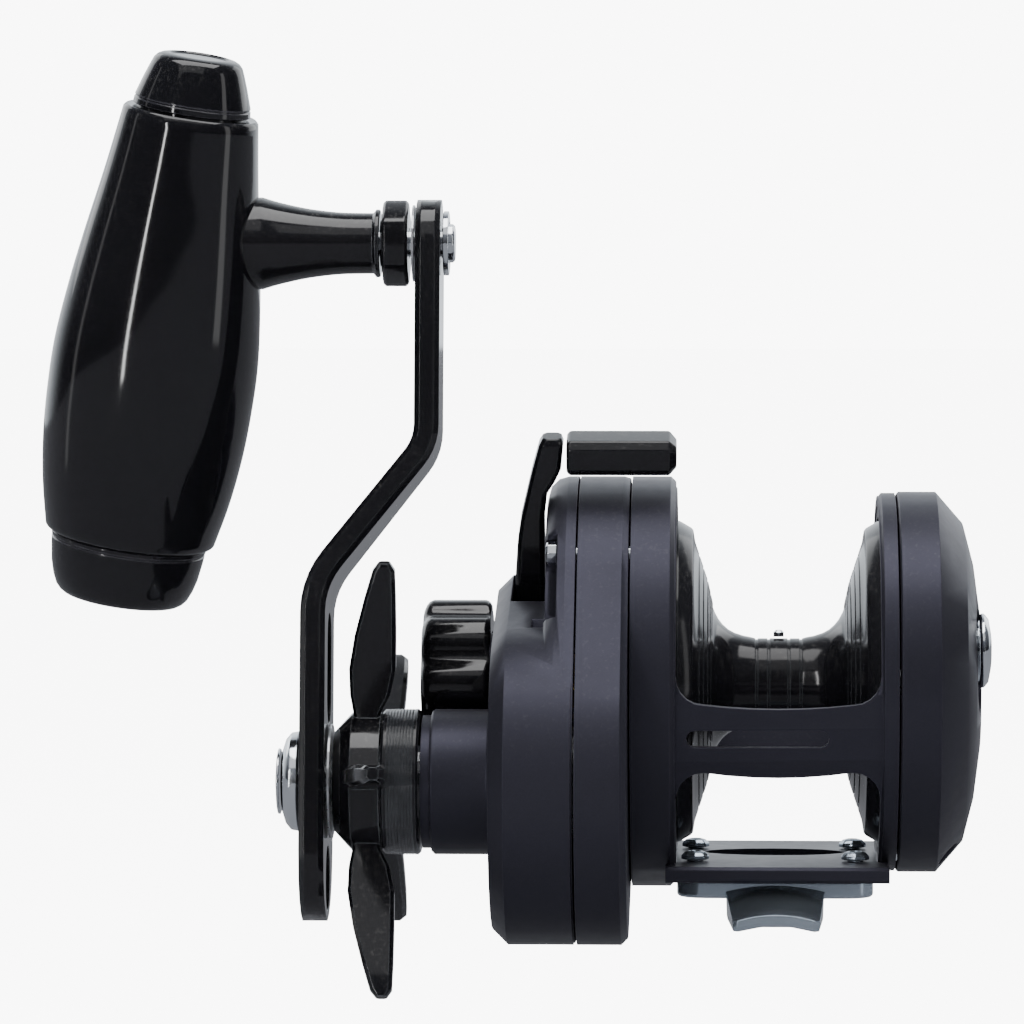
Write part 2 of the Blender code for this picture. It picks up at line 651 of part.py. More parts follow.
def make_palm_cover():
    cavity_r = PALM_R - PALM_WALL
    profile = [
        (PALM_FLOOR_X, 0), (PALM_FLOOR_X, 21.0), (25.0, cavity_r), (PALM_X, cavity_r), (PALM_X, PALM_R - 0.3),
        (PALM_X + 0.3, PALM_R), (26.0, PALM_R), (30.5, 26.5), (32.2, 20.0), (33.3, 12.0), (PALM_TOP_X, 0),
    ]
    cover = turned("palm_side_cover", profile, SATIN, steps=STEPS_LARGE)
    boss = rod("join_palm_boss", PALM_BEARING_X[0] - 0.2, PALM_FLOOR_X + 0.5, SPOOL_BEARING_R + 2.5,
               steps=STEPS_MEDIUM)
    bore = rod("cut_palm_bore", PALM_BEARING_X[0] - 1, PALM_BEARING_X[1] + GAP, SPOOL_BEARING_R + GAP)
    recess_outline = [(BUTTON_AXIS[0] + y, z) for y, z in capsule(-BUTTON_TRAVEL, 0, BUTTON_R + 0.3, 12)]
    recess = layered("cut_button_recess", [(RECESS_X, recess_outline), (PALM_TOP_X + 2, recess_outline)],
                     None, (0, 0, BUTTON_AXIS[1]))
    stem_outline = [(BUTTON_AXIS[0] + y, z) for y, z in capsule(-BUTTON_TRAVEL, 0, 1.6, 6)]
    stem = layered("cut_stem_slot", [(PALM_FLOOR_X - 1, stem_outline), (RECESS_X + 1, stem_outline)],
                   None, (0, 0, BUTTON_AXIS[1]))
    seats = []
    for i, axis in enumerate(PALM_SCREW_AXES):
        seats.append(turned(f"cut_palm_seat_{i}", [
            (PALM_X - 1, 0), (PALM_X - 1, SCREW_HOLE_R), (24.0, SCREW_HOLE_R),
            (24.0, 1.85), (PALM_TOP_X, 1.85), (PALM_TOP_X, 0),
        ], None, axis, steps=12))
        screw(f"palm_screw_{i + 1}", 26.0, -1, 1.6, 1.7, 6.3, axis, STEEL)
    shape(cover, add=[boss], cut=[bore, recess, stem, *seats])


# -------------------------------------------------------------------- spool

def make_spool(group):
    outside = [(14.0, 8.0), (12.9, 10.5), (13.8, 16.6), (15.9, 23.2), (16.4, 24.6), (FLANGE_X, FLANGE_R - 1.6)]
    inside = [(FLANGE_X, FLANGE_R), (16.4, FLANGE_R), (14.2, FLANGE_R - 1.4), (13.9, 23.3), (11.7, 16.6)]
    inside += [(10.6, 11.5), (9.3, 9.5), (7.3, 8.1), (4.5, ARBOR_R + 0.2), (3.0, ARBOR_R)]
    bore = SHAFT_R + GAP
    right = [(14.0, bore), *outside, *inside]
    left = [(-x, r) for x, r in reversed(right)]
    turned("spool", right + left, GLOSS, group=group, steps=STEPS_MEDIUM + 4)
    step_left = BOX_RIGHT_X + 1.2
    turned("spool_shaft", [
        (SHAFT_LEFT_X, 0), (SHAFT_LEFT_X, SHAFT_THIN_R), (step_left, SHAFT_THIN_R), (step_left, SHAFT_R),
        (20.0, SHAFT_R), (20.0, SHAFT_RIGHT_R), (PALM_FLOOR_X - 0.2, SHAFT_RIGHT_R), (PALM_FLOOR_X - 0.2, 0),
    ], STEEL, group=group, steps=STEPS_SMALL)
    pin_low = ARBOR_R + GAP
    pin = [(pin_low, 0), (pin_low, 0.9), (pin_low + 0.7, 0.9), (pin_low + 1.1, 0.5), (pin_low + 1.1, 0)]
    rings = []
    for z, radius in pin:
        rings.append([(px, py, z) for _, px, py in circle(0, radius, 10)] if radius else [(0, 0, z)])
    skin("line_pin", rings, CHROME, (0, *SPOOL_AXIS), group)
    toothed_wheel("clicker_gear", *CLICK_GEAR_X, SHAFT_RIGHT_R + RUN, CLICK_GEAR_R, CLICK_GEAR_R - 1, 12,
                  BRASS, SPOOL_AXIS, group)


SHAFT_LEFT_X = -46.0
SHAFT_THIN_R = 1.8
SHAFT_RIGHT_R = 2.0
CLICK_GEAR_R = 7.0


def make_bearings():
    tube("spool_bearing_left", *SPOOL_BEARING_X, SHAFT_THIN_R + RUN, SPOOL_BEARING_R, STEEL)
    tube("spool_bearing_right", *PALM_BEARING_X, SHAFT_RIGHT_R + RUN, SPOOL_BEARING_R, STEEL)
    tube("drive_shaft_bearing", *DRIVE_BEARING_X, DRIVE_TAIL_R + RUN, DRIVE_BEARING_R, STEEL, DRIVE_AXIS)
    tube("one_way_clutch", *ONE_WAY_X, SLEEVE_R + RUN + 0.1, CLUTCH_BORE_R - GAP, STEEL, DRIVE_AXIS, steps=20)
    rod("tension_shim", COVER_TOP_X - 0.7, COVER_TOP_X + 0.2, SHIM_R, BRASS)


# ------------------------------------------------------------- pinion and yoke

PINION_LEFT_X = -41.0
PINION_TEETH_RIGHT_X = -32.6
COLLAR_SPAN_X = (-31.2, -29.6)
NECK_R = 2.75
YOKE_X = (-32.3, -31.5)
POST_R = 1.1
POST_LEFT_X = -38.5
PAWL_POST_R = 1.2
POST_CIRCLE_R = 8.5


def scaled(outline, radius):
    """The outline's points moved to one radius."""
    return [(y * radius / hypot(y, z), z * radius / hypot(y, z)) for y, z in outline]


def make_pinion(group):
    teeth = gear_outline(PINION_TEETH, TOOTH_SHIFT, DRIVE_DIRECTION + 180 / PINION_TEETH, flank_steps=1)
    bore = scaled(teeth, SHAFT_THIN_R + RUN)
    neck = scaled(teeth, NECK_R)
    collar = scaled(teeth, 4.4)
    left, right = COLLAR_SPAN_X
    layers = [(PINION_LEFT_X, bore), (PINION_LEFT_X, teeth), (PINION_TEETH_RIGHT_X, teeth)]
    layers += [(PINION_TEETH_RIGHT_X, neck), (left, neck), (left, collar), (right, collar), (right, bore)]
    layered("pinion_gear", layers, STEEL, (0, *SPOOL_AXIS), group, loop=True)


def make_yoke(group):
    notch = NECK_R + RUN + 0.1
    outline = [(-10.5, -3.5), (-notch, -3.5)]
    for i in range(9):
        turn = pi - pi * i / 8
        outline.append((notch * cos(turn), notch * sin(turn)))
    outline += [(notch, -3.5), (10.5, -3.5), (10.5, 3.0), (6.0, 7.5), (-6.0, 7.5), (-10.5, 3.0)]
    away = DRIVE_DIRECTION + 180
    turned_outline = []
    for across, out in outline:
        side = around((0, 0), across, away + 90)
        turned_outline.append(around(side, out, away))
    yoke = layered("pinion_yoke", [(x, turned_outline) for x in YOKE_X], BRASS, (0, *SPOOL_AXIS), group)
    holes = []
    for i, turn in enumerate((-90, 90)):
        axis = around(SPOOL_AXIS, POST_CIRCLE_R, DRIVE_DIRECTION + turn)
        holes.append(rod(f"cut_yoke_hole_{i}", YOKE_X[0] - 1, YOKE_X[1] + 1, POST_R + RUN, axis=axis, steps=12))
        coil(f"yoke_spring_{i + 1}", YOKE_X[0] - 3.7, YOKE_X[0] - 0.15, 1.75, 0.3, 3, STEEL, axis, group)
    shape(yoke, cut=holes)


# ------------------------------------------------------------- drive and drag

DRIVE_TAIL_R = 3.4
DRIVE_SQUARE_R = 3.6
DRIVE_TIP_R = 2.6
RATCHET_X = (-32.6, -31.4)
RATCHET_R = 12.0
SLEEVE_X = (-63.4, -42.5)
STAR_LEFT_X = -72.6
STAR_RIGHT_X = -64.9
ARM_INNER_X = ARM_OUTER_X + ARM_THICKNESS


def make_drive(group, sleeve_group):
    turned("drive_shaft", [
        (BOX_FLOOR_X - 0.6, 0), (BOX_FLOOR_X - 0.6, DRIVE_TAIL_R), (-32.9, DRIVE_TAIL_R), (-32.9, 9.0),
        (DRIVE_GEAR_X + DRIVE_GEAR_WIDTH + GAP, 9.0), (DRIVE_GEAR_X + DRIVE_GEAR_WIDTH + GAP, DRIVE_SHAFT_R),
        (STAR_LEFT_X - 0.2, DRIVE_SHAFT_R), (STAR_LEFT_X - 0.2, DRIVE_SQUARE_R),
        (ARM_OUTER_X - 0.1, DRIVE_SQUARE_R), (ARM_OUTER_X - 0.1, DRIVE_TIP_R),
        (ARM_OUTER_X - 2.4, DRIVE_TIP_R), (ARM_OUTER_X - 2.4, 0),
    ], STEEL, DRIVE_AXIS, group, STEPS_SMALL)
    outline = gear_outline(DRIVE_TEETH, -TOOTH_SHIFT, DRIVE_DIRECTION + 180, flank_steps=1)
    gear_right = DRIVE_GEAR_X + DRIVE_GEAR_WIDTH
    gear = layered("drive_gear", [(DRIVE_GEAR_X, outline), (gear_right, outline)], BRASS, (0, *DRIVE_AXIS), group)
    bore = rod("cut_gear_bore", DRIVE_GEAR_X - 1, gear_right + 1, DRIVE_SHAFT_R + RUN, axis=DRIVE_AXIS)
    shape(gear, cut=[bore])
    stack = [("drag_carbon_1", CARBON), ("drag_plate", STEEL), ("drag_carbon_2", CARBON), ("pressure_plate", STEEL)]
    for i, (name, material) in enumerate(stack):
        right = DRIVE_GEAR_X - GAP - i * WASHER_SPACING
        tube(name, right - WASHER_THICKNESS, right, DRIVE_SHAFT_R + RUN, WASHER_R, material, DRIVE_AXIS, group, 20)
    toothed_wheel("ratchet_wheel", *RATCHET_X, DRIVE_TAIL_R + RUN, RATCHET_R, RATCHET_R - 1.4, 12, STEEL,
                  DRIVE_AXIS, group)
    tube("handle_washer", ARM_INNER_X + GAP, ARM_INNER_X + GAP + 0.4, DRIVE_SQUARE_R + RUN, 9.4, STEEL,
         DRIVE_AXIS, group, 20)
    tube("drag_sleeve", *SLEEVE_X, DRIVE_SHAFT_R + RUN, SLEEVE_R, STEEL, DRIVE_AXIS, sleeve_group, 20)
    tube("drag_spring_washer", SLEEVE_X[0] - 0.9, SLEEVE_X[0] - GAP, DRIVE_SHAFT_R + RUN, 7.4, STEEL, DRIVE_AXIS,
         sleeve_group, 20)


def chamfered(across, out, cut):
    """Eight-sided section: half sizes along two directions and a corner cut."""
    cut = min(cut, across * 0.45, out * 0.45)
    return [
        (across, out - cut), (across - cut, out), (cut - across, out), (-across, out - cut),
        (-across, cut - out), (cut - across, -out), (across - cut, -out), (across, cut - out),
    ]


def spoke(name, stations, angle, material=None, axis=SPOOL_AXIS, group=None, cut=0.6):
    """Arm that runs out from an axis; stations are (radius, left x, right x, half thickness)."""
    rings = []
    for radius, left, right, half in stations:
        ring = []
        for across, out in chamfered(half, (right - left) / 2, cut):
            y, z = around(around((0, 0), across, angle + 90), radius, angle)
            ring.append(((left + right) / 2 + out, y, z))
        rings.append(ring)
    return skin(name, rings, material, (0, *axis), group)


def make_star(group):
    inner = DRIVE_SHAFT_R + RUN
    star = turned("star_drag", [
        (STAR_RIGHT_X, inner), (STAR_RIGHT_X, STAR_HUB_R), (-69.6, STAR_HUB_R), (-70.1, STAR_HUB_R - 0.5),
        (STAR_LEFT_X, 8.2), (STAR_LEFT_X, inner),
    ], GLOSS, DRIVE_AXIS, group)
    half = STAR_ARM_THICKNESS / 2
    tip = STAR_ARM_R
    stations = [
        (9.5, -69.3, -65.0, half), (STAR_HUB_R + 0.5, -69.4, -64.9, half), (15.0, -69.9, -63.3, half),
        (19.3, -70.0, -62.4, half), (25.0, -69.0, -62.3, half), (31.0, -67.4, -62.3, half),
        (tip - 1.3, -66.0, -62.4, half * 0.85), (tip, -65.0, -63.2, half * 0.6),
    ]
    arms = [
        spoke(f"join_star_arm_{i}", stations, STAR_FIRST_ANGLE + 360 / STAR_ARMS * i, axis=DRIVE_AXIS)
        for i in range(STAR_ARMS)
    ]
    shape(star, add=arms)
    turned("star_collar", [
        (COLLAR_RIGHT_X, 8.0), (COLLAR_RIGHT_X, BOSS_R - 0.4), (COLLAR_RIGHT_X - 0.4, BOSS_R),
        (COLLAR_X + 0.4, BOSS_R), (COLLAR_X, BOSS_R - 0.4), (COLLAR_X, 8.0),
    ], GLOSS, DRIVE_AXIS, group)


# ------------------------------------------------------------------- handle

KNOB_AXIS = around(DRIVE_AXIS, CRANK, ARM_LEAN)
ARM_BEND_LOW = 32.1
ARM_BEND_HIGH = 55.0
ARM_KNOB_INNER_X = ARM_KNOB_X + ARM_THICKNESS


def arm_path():
    """Middle line of the arm as (x, distance along the arm, slope)."""
    low_x = ARM_OUTER_X + ARM_THICKNESS / 2
    high_x = ARM_KNOB_X + ARM_THICKNESS / 2
    slope = atan2(high_x - low_x, ARM_BEND_HIGH - ARM_BEND_LOW)
    top = CRANK + ARM_WIDTH_KNOB / 2 - 0.6
    low_end = ARM_WIDTH_DRIVE / 2
    path = [(low_x, -ARM_TAIL + low_end * (1 - cos(radians(a))), 0) for a in (4, 25, 45, 65, 90)]
    path.append((low_x, ARM_WIDTH_DRIVE * 0.5, 0))
    for radius, bend, corner_x, sign in ((14.0, ARM_BEND_LOW, low_x, 1), (9.0, ARM_BEND_HIGH, high_x, -1)):
        length = radius * tan(slope / 2)
        for i in range(6):
            turn = slope * i / 5
            if sign > 0:
                path.append((corner_x + radius * (1 - cos(turn)), bend - length + radius * sin(turn), turn))
            else:
                back = slope - turn
                path.append((corner_x - radius * (1 - cos(back)), bend + length - radius * sin(back), back))
    high_end = ARM_WIDTH_KNOB / 2
    path += [(high_x, top - high_end * (1 - cos(radians(a))), 0) for a in (90, 65, 45, 25, 4)]
    return path, top


def arm_half_width(along, top):
    low = ARM_WIDTH_DRIVE / 2
    high = ARM_WIDTH_KNOB / 2
    share = min(1, max(0, (along - 22) / 40))
    width = low + (high - low) * share * share * (3 - 2 * share)
    if along < low - ARM_TAIL:
        width = sqrt(max(0.0, low ** 2 - (low - ARM_TAIL - along) ** 2))
    if along > top - high:
        width = sqrt(max(0.0, high ** 2 - (along - top + high) ** 2))
    return width


def swing(outline):
    """Turn (across, along) arm coordinates into (y, z) about the drive axis."""
    return [around(around((0, 0), across, ARM_LEAN - 90), along, ARM_LEAN) for across, along in outline]


def make_handle_arm(group):
    path, top = arm_path()
    rings = []
    for x, along, slope in path:
        ring = []
        for across, out in chamfered(arm_half_width(along, top), ARM_THICKNESS / 2, 0.9):
            y, z = swing([(across, along - out * sin(slope))])[0]
            ring.append((x + out * cos(slope), y, z))
        rings.append(ring)
    arm = skin("handle_arm", rings, GLOSS, (0, *DRIVE_AXIS), group)
    cuts = [
        rod("cut_arm_drive_hole", ARM_OUTER_X - 2, ARM_INNER_X + 2, DRIVE_SQUARE_R + RUN, axis=DRIVE_AXIS),
        rod("cut_arm_knob_hole", ARM_KNOB_X - 2, ARM_KNOB_INNER_X + 2, SPINDLE_R + RUN, axis=KNOB_AXIS),
    ]
    for i, (low, high) in enumerate(((13.5, 23.5), (-17.0, -14.5))):
        outline = swing(capsule(low, high, 4.2))
        layers = [(ARM_INNER_X - 1.0, outline), (ARM_INNER_X + 1.5, outline)]
        cuts.append(layered(f"cut_arm_pocket_{i}", layers, None, (0, *DRIVE_AXIS)))
    shape(arm, cut=cuts)

    nut_x = ARM_OUTER_X - GAP
    turned("handle_nut", [
        (nut_x - 2.5, 0), (nut_x - 2.5, DRIVE_TIP_R + RUN), (nut_x, DRIVE_TIP_R + RUN), (nut_x, 7.9),
        (nut_x - 0.4, 8.2), (nut_x - 1.6, 8.0), (nut_x - 2.5, 6.9), (nut_x - 3.1, 5.0), (nut_x - 3.1, 0),
    ], CHROME, DRIVE_AXIS, group)
    turned("nut_retainer", [
        (nut_x - 3.4, 0), (nut_x - 3.4, 5.4), (nut_x - 3.8, 5.4), (nut_x - 3.9, 4.9), (nut_x - 3.9, 2.0),
        (nut_x - 4.2, 1.8), (nut_x - 4.2, 0),
    ], CHROME, DRIVE_AXIS, group, 20)


def make_knob(arm_group, group):
    hold = KNOB_AXIS
    head = ARM_KNOB_INNER_X + GAP
    turned("knob_spindle", [
        (head + 1.9, 0), (head + 1.9, 2.8), (head + 1.5, 3.2), (head, 3.2), (head, SPINDLE_R), (-84.0, SPINDLE_R),
        (-84.0, 0),
    ], CHROME, hold, arm_group, STEPS_SMALL)
    tube("spindle_retainer", head, head + 0.9, 3.5, 5.3, CHROME, hold, arm_group, 16)
    tube("knob_washer", ARM_KNOB_X - 0.7, ARM_KNOB_X - GAP, SPINDLE_R + RUN, 6.3, STEEL, hold, arm_group, 16)
    lobed = []
    for i in range(24):
        lobed.append(around((0, 0), 7.1 - 0.7 * sin(radians(45 * i)) ** 2, 15 * i))
    hole = scaled(lobed, SPINDLE_R + RUN)
    small = [(y * 0.93, z * 0.93) for y, z in lobed]
    layers = [(-61.0, hole), (-61.0, small), (-61.5, lobed), (-64.8, lobed), (-65.3, small), (-65.3, hole)]
    layered("knob_lobed_nut", layers, GLOSS, (0, *hold), arm_group, loop=True)
    turned("knob_stem", [
        (-86.0, 0), (-86.0, STEM_BORE_R), (-65.7, STEM_BORE_R), (-65.7, 5.6), (-66.4, 5.6), (-66.9, 5.0),
        (-72.0, 5.1), (-76.0, 5.5), (-79.0, 6.0), (-82.5, 6.8), (-85.2, STEM_FLARE_R), (-88.0, STEM_FLARE_R),
        (-88.0, 4.2), (-95.5, 4.2), (-95.5, 0),
    ], GLOSS, hold, group)
    for i, x in enumerate((-68.5, -83.0)):
        tube(f"knob_bearing_{i + 1}", x, x + 2.0, SPINDLE_R + RUN, STEM_BORE_R - RUN, STEEL, hold, group, 12)

    axis = Vector((sin(radians(KNOB_TILT)), -sin(radians(KNOB_LEAN)), 0))
    axis.z = sqrt(1 - axis.length_squared)
    side = axis.cross(Vector((1, 0, 0))).normalized()
    front = side.cross(axis)

    def grip(name, profile):
        rings = []
        for along, radius in profile:
            steps = STEPS_MEDIUM if radius else 1
            ring = []
            for i in range(steps):
                turn = 2 * pi * i / steps
                ring.append(axis * along + (side * cos(turn) + front * sin(turn)) * radius)
            rings.append(ring)
        return skin(name, rings, GLOSS, (KNOB_X, *hold), group)

    profile = [(KNOB_BOTTOM, 0), (KNOB_BOTTOM, KNOB_R * 0.80), (KNOB_BOTTOM + 0.5, KNOB_R * 0.83)]
    profile += [(KNOB_BOTTOM + 7.7, KNOB_R * 0.918), (-34.0, KNOB_R * 0.977), (-26.0, KNOB_R)]
    profile += [(-18.0, KNOB_R * 0.994), (-9.0, KNOB_R * 0.945), (0.0, KNOB_R * 0.855), (11.0, KNOB_R * 0.749)]
    profile += [(KNOB_TOP - 0.5, KNOB_R * 0.657), (KNOB_TOP, KNOB_R * 0.63), (KNOB_TOP, 0)]
    body = grip("knob_body", profile)
    cuts = [
        rod("cut_knob_flare", -88.3, -80.0, STEM_FLARE_R + RUN, axis=hold, steps=STEPS_MEDIUM),
        rod("cut_knob_tail", -96.0, -87.0, 4.2 + RUN, axis=hold),
    ]
    shape(body, cut=cuts)
    low = KNOB_TOP + GAP
    grip("knob_top_cap", [
        (low, 0), (low, KNOB_R * 0.57), (low + 4.6, KNOB_R * 0.503), (low + 7.9, KNOB_R * 0.43),
        (low + 8.7, KNOB_R * 0.37), (low + CAP_TOP_LENGTH, KNOB_R * 0.29), (low + CAP_TOP_LENGTH, 0),
    ])
    high = KNOB_BOTTOM - GAP
    grip("knob_bottom_cap", [
        (high - CAP_BOTTOM_LENGTH, 0), (high - CAP_BOTTOM_LENGTH, KNOB_R * 0.55),
        (high - CAP_BOTTOM_LENGTH + 1.2, KNOB_R * 0.65), (high - 5.5, KNOB_R * 0.72), (high, KNOB_R * 0.76), (high, 0),
    ])


STEM_BORE_R = 3.8
STEM_FLARE_R = 7.6


# ------------------------------------------------------------------- clutch

def make_clutch(group):
    half = LEVER_THICKNESS / 2
    right = COVER_BASE_X - 0.4
    stations = [
        (13.3, -43.4, right, half + 0.6), (19.4, -43.6, right, half + 0.6), (25.3, -43.2, right, half + 0.3),
        (29.5, -42.6, right, half), (RING_R - 0.3, -41.6, right + 0.5, half), (RING_R + 1.8, -41.1, -36.9, half),
        (RING_R + 4.0, -40.6, -35.9, half), (RING_R + 8.1, -39.5, -35.5, half),
        (RING_R + 9.2, -38.9, -35.8, half - 0.6),
    ]
    spoke("clutch_lever", stations, LEVER_ANGLE, GLOSS, SPOOL_AXIS, group, cut=0.7)
    layers = []
    for x, inset in ((THUMB_BAR_LEFT, 0.5), (THUMB_BAR_LEFT + 0.5, 0), (THUMB_BAR_RIGHT - 1.2, 0),
                     (THUMB_BAR_RIGHT, 1.2)):
        outline = []
        for across, out in chamfered(THUMB_BAR_WIDTH / 2 - inset, THUMB_BAR_DEPTH / 2 - inset, 1.2):
            outline.append(around(around((0, 0), across, LEVER_ANGLE + 90), THUMB_BAR_R + out, LEVER_ANGLE))
        layers.append((x, outline))
    layered("clutch_thumb_bar", layers, GLOSS, (0, *SPOOL_AXIS), group)
    cam_x = COVER_TOP_X + COVER_WALL + GAP
    tube("clutch_cam", cam_x, cam_x + 1.4, 9.3, 13.0, STEEL, SPOOL_AXIS, group, 20)


def make_cast_knob(group):
    def lobes(radius, depth):
        points = []
        for i in range(CAST_LOBES * 6):
            wave = 0.5 - 0.5 * cos(2 * pi * i / 6)
            points.append(around((0, 0), radius - depth * wave ** 2, 360 * i / (CAST_LOBES * 6)))
        return points

    inner = scaled(lobes(CAST_R, 0), CAST_BOSS_R + GAP)
    layers = [
        (COVER_TOP_X - 5.5, inner), (CAST_RIGHT_X, inner), (CAST_RIGHT_X, lobes(CAST_R - 0.9, 0.6)),
        (CAST_RIGHT_X - 0.9, lobes(CAST_R, 1.5)), (CAST_LEFT_X + 1.6, lobes(CAST_R, 1.5)),
        (CAST_LEFT_X + 0.3, lobes(CAST_R - 1.4, 1.3)), (CAST_LEFT_X, lobes(CAST_R - 2.4, 1.0)),
    ]
    layered("cast_control_knob", layers, GLOSS, (0, *SPOOL_AXIS), group)


# -------------------------------------------------------- clicker and ratchet

def make_clicker(group):
    x = RECESS_X + GAP
    turned("clicker_button", [
        (x, 0), (x, BUTTON_R - 1.2), (x + 0.5, BUTTON_R - 0.3), (x + 1.2, BUTTON_R), (x + 1.9, BUTTON_R - 0.6),
        (x + 2.2, BUTTON_R - 1.7), (x + 2.7, BUTTON_R - 1.8), (x + 3.1, BUTTON_R - 0.9), (x + 3.9, BUTTON_R - 0.6),
        (x + 4.7, BUTTON_R - 1.5), (x + 5.1, BUTTON_R - 3.6), (x + 5.2, 0),
    ], CHROME, BUTTON_AXIS, group)
    left, right = CLICK_GEAR_X
    tooth = [(-1.4, -1.4), (-1.4, 1.4), (1.3, 1.3), (3.3, 0.3), (3.3, -0.3), (1.3, -1.3)]
    pawl = layered("clicker_pawl", [(left, tooth), (right, tooth)], STEEL, (0, *BUTTON_AXIS), group)
    stem = rod("join_pawl_stem", right - 0.5, x - GAP, 1.25, axis=BUTTON_AXIS, steps=12)
    shape(pawl, add=[stem])


PAWL_AXIS = around(DRIVE_AXIS, 17.5, 200.0)


def make_ratchet_pawl(group):
    tip = around(DRIVE_AXIS, RATCHET_R + 0.6, 228.0)
    reach = Vector((tip[0] - PAWL_AXIS[0], tip[1] - PAWL_AXIS[1]))
    direction = degrees(atan2(-reach.x, reach.y))
    outline = [around((0, 0), 2.6, direction + 60 + 240 * i / 10) for i in range(11)]
    outline += [around((0, 0), reach.length, direction - 3), around((0, 0), reach.length, direction + 3)]
    pawl = layered("anti_reverse_pawl", [(x, outline) for x in RATCHET_X], STEEL, (0, *PAWL_AXIS), group)
    hole = rod("cut_pawl_hole", RATCHET_X[0] - 1, RATCHET_X[1] + 1, PAWL_POST_R + RUN, axis=PAWL_AXIS, steps=12)
    shape(pawl, cut=[hole])


# ----------------------------------------------------------------- assembly

def main():
    make_frame()
    make_foot()
    make_foot_screws()
    make_gear_box()
    make_gear_side_cover()
    make_palm_cover()
    make_bearings()

    spool_pivot = pivot("spool_pivot", (0, *SPOOL_AXIS))
    yoke_slide = pivot("yoke_slide", (0, *SPOOL_AXIS))
    pinion_pivot = pivot("pinion_pivot", (0, *SPOOL_AXIS), yoke_slide)
    drive_pivot = pivot("drive_pivot", (0, *DRIVE_AXIS))
    sleeve_slide = pivot("sleeve_slide", (0, *DRIVE_AXIS), drive_pivot)
    star_pivot = pivot("star_pivot", (0, *DRIVE_AXIS), drive_pivot)
    knob_pivot = pivot("knob_pivot", (KNOB_X, *KNOB_AXIS), drive_pivot)
    clutch_pivot = pivot("clutch_pivot", (0, *SPOOL_AXIS))
    cast_pivot = pivot("cast_pivot", (0, *SPOOL_AXIS))
    button_slide = pivot("button_slide", (0, *BUTTON_AXIS))
    pawl_pivot = pivot("pawl_pivot", (0, *PAWL_AXIS))

    make_spool(spool_pivot)
    make_yoke(yoke_slide)
    make_pinion(pinion_pivot)
    make_drive(drive_pivot, sleeve_slide)
    make_star(star_pivot)
    make_handle_arm(drive_pivot)
    make_knob(drive_pivot, knob_pivot)
    make_clutch(clutch_pivot)
    make_cast_knob(cast_pivot)
    make_clicker(button_slide)
    make_ratchet_pawl(pawl_pivot)


main()
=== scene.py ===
"""Surfaces, light and camera for a baitcasting reel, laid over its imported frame."""

import json
from math import cos, pi, radians, sin, sqrt

import bmesh
import bpy
from bpy.props import FloatProperty, FloatVectorProperty, IntProperty, PointerProperty
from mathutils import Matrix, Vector


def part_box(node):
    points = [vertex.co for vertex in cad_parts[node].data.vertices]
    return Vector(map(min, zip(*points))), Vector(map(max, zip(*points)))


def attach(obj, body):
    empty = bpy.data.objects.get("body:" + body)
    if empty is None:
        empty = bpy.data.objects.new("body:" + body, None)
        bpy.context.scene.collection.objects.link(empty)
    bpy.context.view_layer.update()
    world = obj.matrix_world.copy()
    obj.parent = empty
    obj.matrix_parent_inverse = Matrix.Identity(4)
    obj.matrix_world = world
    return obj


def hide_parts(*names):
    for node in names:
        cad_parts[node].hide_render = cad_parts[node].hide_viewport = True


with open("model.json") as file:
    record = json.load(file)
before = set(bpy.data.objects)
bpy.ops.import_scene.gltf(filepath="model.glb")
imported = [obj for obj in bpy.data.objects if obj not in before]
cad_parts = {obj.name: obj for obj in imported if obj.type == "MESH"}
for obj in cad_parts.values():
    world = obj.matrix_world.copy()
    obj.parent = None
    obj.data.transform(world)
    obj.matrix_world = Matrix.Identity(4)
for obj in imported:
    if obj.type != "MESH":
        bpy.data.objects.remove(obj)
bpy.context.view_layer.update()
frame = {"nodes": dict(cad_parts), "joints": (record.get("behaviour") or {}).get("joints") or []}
NODES = frame["nodes"]

bl_info = {
    "name": "Baitcasting Reel Finish",
    "version": (1, 0, 0),
    "blender": (4, 5, 0),
    "location": "3D View > Sidebar > Reel",
    "description": "Machined, anodised and polished surfaces for a star-drag baitcasting reel",
    "category": "Object",
}

MM = 0.001

# Lengths in millimetres and angles in degrees, unless a line says otherwise.
GRIP_REACH = 62.0  # from the spindle to the far end of the knob
KNOB_TILT = 9.2  # the knob's lean along the spindle
KNOB_LEAN = 8.0  # the knob's lean towards the angler
ARBOR_R = 7.2
CAST_LOBES = 8
COLLAR_GROOVES = 9
COLLAR_PITCH = 0.5

FLAT_ANGLE = 0.8  # flatter neighbours are joined
BREAK_ANGLE = 27.0  # steeper edges are broken
SHARP_ANGLE = 32.0  # steeper edges stay crisp under smooth shading
WELD = 0.002  # points this close are one point

DUST_COLOUR = (0.42, 0.41, 0.39)
DUST_SCALE = 1500.0
RUB_SCALE = 420.0

CAMERA_PLACE = (-0.0087, -0.900, 0.1010)  # metres, as are the stage's other places
CAMERA_AIM = (-0.0445, 0.0, 0.0657)
STAGE_MIDDLE = (-0.04, 0.0, 0.06)
FLOOR_RADIUS = 25.0
DIM_FLOOR = (0.032, 0.033, 0.036, 1.0)  # what polished faces see of the floor
ROOM_LOW = (0.10, 0.105, 0.115, 1.0)
ROOM_MIDDLE = (0.014, 0.015, 0.018, 1.0)
ROOM_HIGH = (0.16, 0.17, 0.20, 1.0)
ROOM_BACK = (1.5, 1.6, 1.7)

